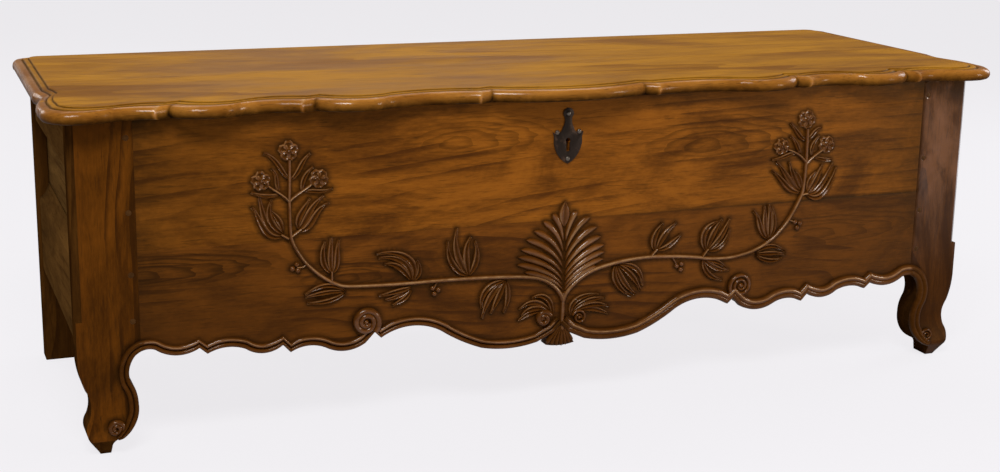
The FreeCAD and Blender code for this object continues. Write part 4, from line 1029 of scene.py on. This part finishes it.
def grow(stems, leaves, sprigs, berries):
    """The strokes and the berries of one side."""
    strokes = [stem(*row) for row in stems]
    for lobes in leaves:
        strokes += leaf(*lobes)
    strokes += [lobe(points, width) for width, *points in sprigs]
    return strokes, [ball(spot, 5.2) for spot in berries]


left, left_balls = grow(LEFT_STEMS, LEFT_LEAVES, LEFT_SPRIGS, LEFT_BERRIES)
print("left strokes:", len(left))

# %% Right stem and its leaves
RIGHT_STEMS = [
    (11.5, 7.0, 130, [
        (3, 200), (9, 214), (22, 229), (45, 246), (70, 257), (95, 263), (125, 268), (160, 271), (200, 271),
        (250, 267), (290, 262), (310, 258), (335, 256), (365, 256), (400, 262), (420, 268), (440, 277),
        (460, 290), (475, 304), (490, 322), (503, 343), (513, 362), (521, 384), (524, 430), (524, 470),
        (523, 506),
    ]),
    (6.0, 5.0, 16, [(524, 438), (514, 451), (502, 460), (482, 466)]),
    (6.0, 5.0, 16, [(524, 434), (534, 447), (545, 452), (560, 462)]),
    (5.5, 5.5, 8, [(186, 270), (190, 276), (195, 281), (200, 286)]),
    (5.5, 5.5, 8, [(301, 262), (304, 268), (308, 272), (312, 277)]),
    (6.0, 6.0, 8, [(519, 372), (524, 374), (528, 374), (532, 374)]),
    (4.0, 4.0, 8, [(510, 314), (505, 318), (500, 320), (494, 322)], 4.0),
    (4.0, 4.0, 8, [(244, 252), (241, 257), (238, 261), (235, 266)], 4.0),
]
RIGHT_LEAVES = [
    [(14, (515, 378), (484, 378), (472, 412), (447, 426)),
     (15, (515, 380), (492, 390), (482, 420), (457, 443)),
     (14, (516, 383), (502, 398), (494, 418), (486, 441)),
     (11, (517, 386), (516, 400), (510, 412), (500, 422))],
    [(15, (530, 373), (562, 348), (582, 382), (596, 425)),
     (15, (531, 374), (558, 370), (572, 402), (587, 434)),
     (15, (532, 376), (546, 390), (554, 412), (563, 432)),
     (12, (533, 378), (530, 396), (540, 410), (550, 418))],
    [(13, (446, 288), (424, 298), (428, 334), (411, 346)),
     (13, (448, 288), (435, 310), (440, 336), (435, 355)),
     (13, (450, 288), (447, 312), (452, 336), (444, 358)),
     (12, (452, 290), (463, 305), (462, 330), (452, 352))],
    [(11, (422, 262), (440, 276), (466, 276), (489, 257)),
     (11, (423, 258), (445, 256), (466, 258), (490, 252)),
     (11, (423, 255), (440, 240), (466, 238), (483, 246))],
    [(15, (308, 273), (292, 300), (302, 328), (337, 332)),
     (14, (311, 275), (316, 300), (330, 320), (341, 336)),
     (14, (313, 275), (336, 290), (348, 312), (358, 335)),
     (13, (312, 274), (338, 270), (354, 288), (359, 313))],
    [(13, (303, 256), (304, 230), (324, 214), (348, 212)),
     (14, (304, 256), (322, 240), (340, 230), (362, 230)),
     (11, (306, 256), (326, 253), (342, 248), (353, 236))],
    [(14, (196, 282), (184, 302), (198, 324), (211, 337)),
     (15, (200, 284), (208, 306), (222, 324), (241, 336)),
     (14, (201, 284), (224, 284), (240, 302), (252, 312))],
    [(14, (112, 260), (104, 234), (120, 210), (147, 197)),
     (14, (115, 260), (122, 236), (138, 214), (156, 199)),
     (14, (119, 260), (142, 246), (158, 226), (167, 206)),
     (13, (121, 261), (154, 262), (172, 240), (171, 214))],
]
RIGHT_SPRIGS = [
    (11, (521, 484), (506, 488), (500, 504), (485, 518)),
    (10, (526, 488), (536, 488), (538, 506), (557, 508)),
    (10, (511, 455), (504, 464), (502, 480), (486, 493)),
    (9, (538, 450), (530, 466), (538, 478), (552, 491)),
    (9, (503, 458), (486, 462), (470, 448), (447, 448)),
    (9, (540, 448), (556, 444), (570, 440), (585, 441)),
]
RIGHT_BERRIES = [(508, 317), (519, 314), (513, 305), (245, 248), (255, 251), (254, 240)]
right, right_balls = grow(RIGHT_STEMS, RIGHT_LEAVES, RIGHT_SPRIGS, RIGHT_BERRIES)
print("right strokes:", len(right))

# %% [markdown]
# ## Flowers
# Each spray carries three open flowers: five cupped petals round a heart, with the rim of each petal left high
# and its middle hollowed by a gouge. A flower could be copied as a whole, but each is turned its own way, so
# the petal is the stroke that repeats.

# %% Flowers
PETALS = 5


def petal(centre, angle, length, width, rise=7.0):
    """A cupped petal that points away from the flower's heart."""
    def place(t, u):
        half = width / 2 * math.sin(math.pi * min(t ** 0.7 * 0.86 + 0.06, 1.0)) ** 0.6
        out = 2.0 + (length - 2.0) * t
        edge = max(1 - abs(u) ** 5, 0.0) * (1 - max(0.0, t - 0.86) / 0.14)
        hollow = math.exp(-((u / 0.55) ** 4) - (((t - 0.52) / 0.32) ** 4))
        x = centre[0] + out * math.cos(angle) - half * u * math.sin(angle)
        z = centre[1] + out * math.sin(angle) + half * u * math.cos(angle)
        up = rise * (edge - 0.62 * hollow) - SINK * (1 - edge)
        # Painted shade in the gouged middle, at the edges and at the root, and a painted highlight on the rim.
        bare = 0.5 * hump(abs(u), 0.75, 0.2) * (1 - hollow)
        return on_front(x, z, up), 0.60 * hollow + 0.9 * abs(u) ** 8 + 0.8 * max(0.0, 1 - t * 5) - bare
    return strip("petal", 10, 10, place)


for name, strokes, balls, spots in (
    ("carved_spray_left", left, left_balls,
     (((-528, 522), 18.5, 1.57), ((-578, 471), 18, 0.4), ((-474, 469), 18, 0.9))),
    ("carved_spray_right", right, right_balls,
     (((521, 525), 19.5, 1.2), ((467, 473), 17, 0.5), ((570, 472), 18, 1.0))),
):
    for spot, radius, turn in spots:
        strokes += [petal(spot, turn + i * math.tau / PETALS, radius, radius * 1.22) for i in range(PETALS)]
        balls.append(ball(spot, radius * 0.22, 7.5))
    finish_carving(name, strokes, balls)

# %% [markdown]
# ## Scrolls and the foot of the palmette
# The stems start as two small scrolls with leaves, a fan tail hangs below them, and two larger scrolls sit on
# the apron where its edge breaks. A scroll could be turned from a screw, but it is only a stem on a spiral that
# winds in, so the same kind of strip makes it.

# %% Scrolls
def scroll(centre, outer, inner, turns, start, way, width, end_width, rise, lift=0.0):
    """A spiral stem: way is 1 or -1, start is the angle in degrees at its outer end."""
    def place(t, u):
        angle = math.radians(start) + way * turns * math.tau * t
        reach = outer + (inner - outer) * t ** 0.85
        crown = math.sqrt(max(1 - u * u, 0.0))
        r = reach + (width + (end_width - width) * t) / 2 * u
        x = centre[0] + r * math.cos(angle)
        z = centre[1] + r * math.sin(angle)
        # The scroll is darkened a little all over, with painted shade at its edges and a faint painted
        # highlight on its crown.
        dark = 0.20 + 0.95 * abs(u) ** 6 - 0.10 * hump(u, 0, 0.3)
        return on_front(x, z, lift + rise * crown - 2.0 * (1 - crown)), dark
    return strip("scroll", 70, 6, place)


rolls, roll_balls = [], []
for side, start in ((-1, -50), (1, -130)):
    centre = (side * 389, 196)
    rolls.append(scroll(centre, 26, 6, 2.1, start, -side, 9.5, 6.0, 5.5, 3.5))
    roll_balls.append(ball(centre, 6.0, 10.0))
finish_carving("carved_apron_scrolls", rolls, roll_balls)

# %% Foot of the palmette
LEFT_EYE, RIGHT_EYE = (-36, 168), (38, 164)
FOOT_LEAVES = [
    [(13, (-19, 172), (-16, 206), (-42, 222), (-62, 210)),
     (14, (-22, 180), (-44, 204), (-66, 208), (-87, 190)),
     (13, (-34, 186), (-58, 194), (-72, 188), (-82, 178)),
     (13, (-44, 182), (-64, 186), (-74, 176), (-89, 168))],
    [(13, (20, 168), (14, 200), (44, 210), (79, 207)),
     (13, (24, 176), (46, 198), (70, 198), (92, 198)),
     (13, (34, 180), (60, 190), (80, 188), (101, 180)),
     (12, (46, 177), (66, 182), (84, 172), (100, 165))],
]
foot = [
    stem(11.0, 9.0, 20, [(3, 143), (3, 165), (3, 190), (4, 216)], 6.5),
    scroll(LEFT_EYE, 15, 4, 1.5, 20, 1, 7.5, 5.0, 7.0),
    scroll(RIGHT_EYE, 15, 4, 1.5, 160, -1, 7.5, 5.0, 7.0),
]
for lobes in FOOT_LEAVES:
    foot += leaf(*lobes)
for tip in ((-27, 117), (-18, 113), (-8, 111), (2, 110), (11, 111), (19, 113), (25, 117)):
    rib = [(2 + tip[0] * 0.15, 152), (tip[0] * 0.35, 142), (tip[0] * 0.8, 128), tip]
    foot.append(lobe(rib, 9.5, rise=6.5, vein=0.0, fullest=0.9, tip=0.5, sink=0.5, root=0.45, ground=0.5,
                     highlight=0.0))
finish_carving("carved_palmette_foot", foot, [ball(eye, 4.5, 7.0) for eye in (LEFT_EYE, RIGHT_EYE)])

# %% [markdown]
# ## The beaded edge
# A moulding follows the whole lower edge: a low outer bead in painted shade, a groove, and a higher inner bead
# with a painted highlight on its crest. It climbs the inside of each leg and dies in a scroll at the toe. The
# board's edge could be bevelled, but a bevel has no second bead. So the edge is drawn once as lines and arcs
# for the left half and mirrored, and the section is swept along it.

# %% Edge moulding
EDGE_START = (-842, 31)
EDGE = [
    ((-837, 31), (-832, 33)), ((-811, 53), (-803, 88)), ((-806, 109), (-814, 127)), ((-817, 153), (-806, 177)),
    ((-799, 182), (-795, 184)), ((-787, 185.6), (-771, 182.5)), ((-731, 168.5), (-694, 178)), ((-680, 166),),
    ((-645.5, 174.6), (-612, 167.8)), ((-574, 156.6), (-544, 168.1)), ((-530, 153),),
    ((-494.5, 162), (-461, 152.6)), ((-421, 145.4), (-389.5, 156.6)), ((-372, 175),), ((-360, 163),),
    ((-300, 180), (-234.5, 158.4)), ((-201, 139), (-163, 122.8)), ((-110, 116), (-49, 123)), ((-16, 138.6),),
    ((2, 156),),
]
EDGE_WIDTH, EDGE_STEP, EDGE_BASE = 18.0, 4.0, 2.0
GROOVE_FROM, GROOVE_TO, GROOVE_RISE = 0.46, 0.53, 1.6
OUTER_MIDDLE, OUTER_HALF, OUTER_RISE = 0.22, 0.24, 4.4
INNER_MIDDLE, INNER_HALF, INNER_RISE = 0.765, 0.235, 5.0
STILE_X, LEG_DARK_X, FOOT_DARK_X = 796, 790, 14
LEG_TOP, LEG_DROP, LEG_REACH = 114, 81, 12.0
TOE_Z = 47


def slope(value, start, run):
    """Rises from 0 to 1 over a run that begins at a start."""
    return min(1.0, max(0.0, (value - start) / run))


def leg_face(z):
    """How far the leg's face stands forward of the boards at a height, in millimetres."""
    return LEG_REACH * slope(LEG_TOP - z, 0, LEG_DROP) ** 3.4


def dome(share):
    return math.sqrt(max(0.0, 1 - share ** 2))


def edge_rise(v):
    """Height and painted shade of the moulding at a share of its width, from the edge inwards; below zero it is
    a painted highlight.
    """
    if v <= 0.001 or v >= 0.999:
        return -2.0, 1.0
    if v < GROOVE_FROM:
        bead = (v - OUTER_MIDDLE) / OUTER_HALF
        return EDGE_BASE + OUTER_RISE * dome(bead), 0.34 + 0.5 * bead ** 4
    if v < GROOVE_TO:
        return GROOVE_RISE, 1.0
    bead = (v - INNER_MIDDLE) / INNER_HALF
    return EDGE_BASE + INNER_RISE * dome(bead), 0.22 + 0.7 * bead ** 6 - 0.95 * hump(bead, 0.15, 0.18)


def moulding(name, line, flip):
    """The beaded section swept along a line; flip puts it on the other side."""
    last = len(line) - 1
    sides = []
    for i in range(last + 1):
        ahead = (Vector(line[min(i + 1, last)]) - Vector(line[max(i - 1, 0)])).normalized()
        sides.append(Vector((-ahead.y, ahead.x)) * flip)
    turned = [sum(sides[max(0, i - 6):i + 7], Vector((0.0, 0.0))).normalized() for i in range(last + 1)]

    def place(t, u):
        index = round(t * last)
        v = (u + 1) / 2
        wide = EDGE_WIDTH * min(1.0, 0.30 + index / 14)
        here = Vector(line[index]) + turned[index] * (wide * v - 0.3)
        rise, dark = edge_rise(v)
        out = abs(here.x)
        # Painted shade keeps the moulding darker on the legs and at the middle, where the two halves meet.
        if out > LEG_DARK_X:
            dark = max(dark, 0.58)
        if out < FOOT_DARK_X:
            dark = max(dark, 0.70)
        forward = 3.2 * slope(out, 772, 22) + (leg_face(here.y) if out > STILE_X else 0.0)
        return on_front(here.x, here.y, rise + forward), dark
    return strip(name, last, 22, place)


left_edge = trace(EDGE_START, EDGE, EDGE_STEP)
beads = [moulding("edge_left", left_edge, 1), moulding("edge_right", [(-x, z) for x, z in left_edge], -1)]
for side, start in ((-1, -75), (1, -105)):
    beads.append(scroll((side * 844, TOE_Z), 15.5, 3, 1.9, start, -side, 6.5, 4.0, 5.0, leg_face(TOE_Z) - 0.5))
finish_carving("carved_edge_moulding", beads)
print("edge line points:", len(left_edge))

# %% [markdown]
# ## Painted shade round the carving
# Shade is painted on the ground next to anything that stands up from it, under the lid and towards the ends of
# the boards, and a dark line marks the open joint between them. It could be painted in a picture, but a
# measured distance is the same everywhere. So the boards are cut into small cells by bisecting them, and each
# corner gets its share.

# %% Painted shade on the ground
CARVING_SHADE_REACH = 0.010
BOARD_END = 0.796
JOINT_REACH = 0.009
FACE_DEPTH = 0.002
UNDER_APRON, LOW_SIDE_SHADE = 0.2, 0.55
board_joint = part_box("front_board_upper")[0].z
carved_points = [v.co for piece in carvings for v in piece.data.vertices]
near = kdtree.KDTree(len(carved_points))
for index, co in enumerate(carved_points):
    near.insert(co, index)
near.balance()


def cut_into_cells(piece, step):
    """Bisects a piece across its length and its height."""
    low, high = Vector(piece.bound_box[0]), Vector(piece.bound_box[6])
    edit_all(piece)
    for axis in (0, 2):
        count = int((high[axis] - low[axis]) / step)
        normal = [int(i == axis) for i in range(3)]
        for i in range(1, count):
            spot = [0, 0, 0]
            spot[axis] = low[axis] + (high[axis] - low[axis]) * i / count
            bpy.ops.mesh.select_all(action="SELECT")
            bpy.ops.mesh.bisect(plane_co=spot, plane_no=normal)
    bpy.ops.object.mode_set(mode="OBJECT")


def ground_shade_and_joint(co):
    """Painted shade on the front at a point, under the lid, towards the ends and near the carving, and the dark
    joint between the boards.
    """
    out = abs(co.x)
    # Painted shade under the lid and towards both ends of the front.
    shade = 0.35 * slope(co.z, 0.53, 0.06) ** 2 + 0.25 * slope(out, 0.66, 0.13) ** 2
    if out < BOARD_END:
        shade += 0.08 * slope(out, 0, 0.6) ** 2 + 0.15 * slope(out, 0.55, 0.2)
        shade += 0.14 * slope(co.x, 0, 0.6) + 0.16 * slope(-co.x, 0.35, 0.3)
        open_joint = 0.30 + 0.65 * slope(co.x, 0, 0.6)
        shade = max(shade, open_joint * max(0.0, 1 - abs(co.z - board_joint) / JOINT_REACH))
    # Painted shade on the ground next to the carving.
    return max(shade, max(0.0, 1 - near.find(co)[2] / CARVING_SHADE_REACH) ** 1.15)


for node, step in (("front_board_upper", 0.005), ("front_board_lower", 0.005), ("front_stile_left", 0.008),
                   ("front_stile_right", 0.008)):
    piece = worn[node]
    cut_into_cells(piece, step)
    grime_and_painted_light = piece.data.attributes.new("grime_and_painted_light", "FLOAT", "POINT")
    for vertex in piece.data.vertices:
        # Front faces get painted shade and the joint; low faces behind the front, such as the insides of the
        # legs, get painted shade.
        if vertex.co.y < FRONT_Y + FACE_DEPTH:
            grime_and_painted_light.data[vertex.index].value = ground_shade_and_joint(vertex.co)
        elif vertex.co.z < UNDER_APRON:
            grime_and_painted_light.data[vertex.index].value = LOW_SIDE_SHADE
    print(node, len(piece.data.polygons), "faces after cutting")

# %% [markdown]
# ## Studio floor
# The chest stands on pale paper. The paper has to look white to the camera and in reflections, but if it also
# threw white light back it would grey the wood. So it glows only for rays that are seen or mirrored, and keeps
# a little of its own surface for the shadow.

# %% Floor
floor = added("studio_floor", bpy.ops.mesh.primitive_plane_add, size=60)
paper, tree, shader = new_material("studio_paper")
feed(tree, shader, {"Base Color": (0.60, 0.59, 0.61, 1), "Roughness": 0.9})
glow = add_node(tree, "Emission", {"Color": (0.925, 0.908, 0.936, 1)})
path = tree.nodes.new("ShaderNodeLightPath").outputs
shown = calc(tree, "ADD", path["Is Camera Ray"], path["Is Glossy Ray"])
shown = calc(tree, "ADD", shown, path["Is Transmission Ray"])
seen = times(tree, calc(tree, "MINIMUM", shown, 1.0), 0.87)
surface = add_node(tree, "MixShader", {0: seen, 1: shader.outputs["BSDF"], 2: glow})
feed(tree, tree.nodes["Material Output"], {"Surface": surface})
paint(floor, paper)
floor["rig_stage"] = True
print("floor:", floor.name)

# %% [markdown]
# ## Light
# One wide soft light hangs in front on the left. Weaker ones open the right stile, the right end and the back,
# and two behind and above the chest lie in the polished lid as a pale sheen. Sunlight would be one lamp less,
# but its hard shadows would hide the carving.

# %% Lights
for name, spot, aim, size, watts, colour in (
    ("key_light", (-1.5, -3.3, 4.3), (0, 0, 0.3), (2.2, 1.6), 260, (1, 1, 1)),
    ("right_light", (3.0, -2.5, 0.9), (0.85, FRONT_Y, 0.4), (0.6, 0.9), 44, (1.0, 0.89, 0.78)),
    ("end_light", (3.7, 0.8, 1.6), (0.8, 0.1, 0.4), (1.4, 1.6), 45, (0.94, 0.96, 1.0)),
    ("back_light", (-2.6, 3.8, 1.9), (0, 0.3, 0.4), (1.6, 1.4), 34, (1.0, 0.98, 0.95)),
    ("sheen_light", (1.0, 4.4, 2.2), (0, 0.2, 0.6), (2.0, 1.2), 7, (1.0, 0.98, 0.95)),
    ("window_light", (0.4, 1.6, 3.4), (0, 0, 0.6), (3.6, 1.2), 40, (1.0, 0.99, 0.97)),
):
    lamp = added(name, bpy.ops.object.light_add, type="AREA", location=spot)
    lamp.data.shape = "RECTANGLE"
    lamp.data.size, lamp.data.size_y = size
    lamp.data.energy = watts
    lamp.data.color = colour
    lamp.rotation_euler = (Vector(aim) - Vector(spot)).to_track_quat("-Z", "Y").to_euler()
    lamp.visible_camera = False
    print(name, watts, "W")
world = bpy.data.worlds.new("studio_air")
bpy.context.scene.world = world
world.use_nodes = True
feed(world.node_tree, world.node_tree.nodes["Background"], {"Color": (0.9, 0.9, 0.93, 1), "Strength": 0.22})
bpy.context.scene.view_settings.view_transform = "Standard"

# %% [markdown]
# ## Camera
# The camera stands to the left of the chest and looks down on the lid. It could be moved by eye, but long
# straight edges show every degree. So its place, turn and lens come from fitting the chest's straight edges to
# the picture.

# %% Camera
FRAME_WIDTH, FRAME_HEIGHT = 1000, 472
FOCAL_PIXELS = 1625.5
CENTRE_PIXEL = (504.8, 224.4)
SENSOR = 36
camera_place = (-1.2049, FRONT_Y - 2.7342, 1.0826)
yaw, pitch, roll = (math.radians(v) for v in (21.683, 13.825, 0.950))
ahead = Vector((math.sin(yaw) * math.cos(pitch), math.cos(yaw) * math.cos(pitch), -math.sin(pitch)))
level = Vector((math.cos(yaw), -math.sin(yaw), 0))
upward = level.cross(ahead)
right_way = math.cos(roll) * level + math.sin(roll) * upward
up_way = -math.sin(roll) * level + math.cos(roll) * upward
camera = added("Camera", bpy.ops.object.camera_add)
turned = Matrix((right_way, up_way, -ahead)).transposed().to_4x4()
camera.matrix_world = Matrix.Translation(camera_place) @ turned
camera.data.sensor_width = SENSOR
camera.data.lens = FOCAL_PIXELS * SENSOR / FRAME_WIDTH
camera.data.shift_x = (FRAME_WIDTH / 2 - CENTRE_PIXEL[0]) / FRAME_WIDTH
camera.data.shift_y = (CENTRE_PIXEL[1] - FRAME_HEIGHT / 2) / FRAME_WIDTH
bpy.context.scene.camera = camera
print("lens:", round(camera.data.lens, 2), "mm")

# %% [markdown]
# ## Sizes
# The box of the measured solids and the box of the finished chest are both printed, so that they can be
# compared without opening the scene. The measured solids and the finished chest have to fill the same box.

# %% Sizes
visual_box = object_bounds()
for name, box in (("solids", cad_box), ("finished", visual_box)):
    print(name, [tuple(round(c, 4) for c in p) for p in box])
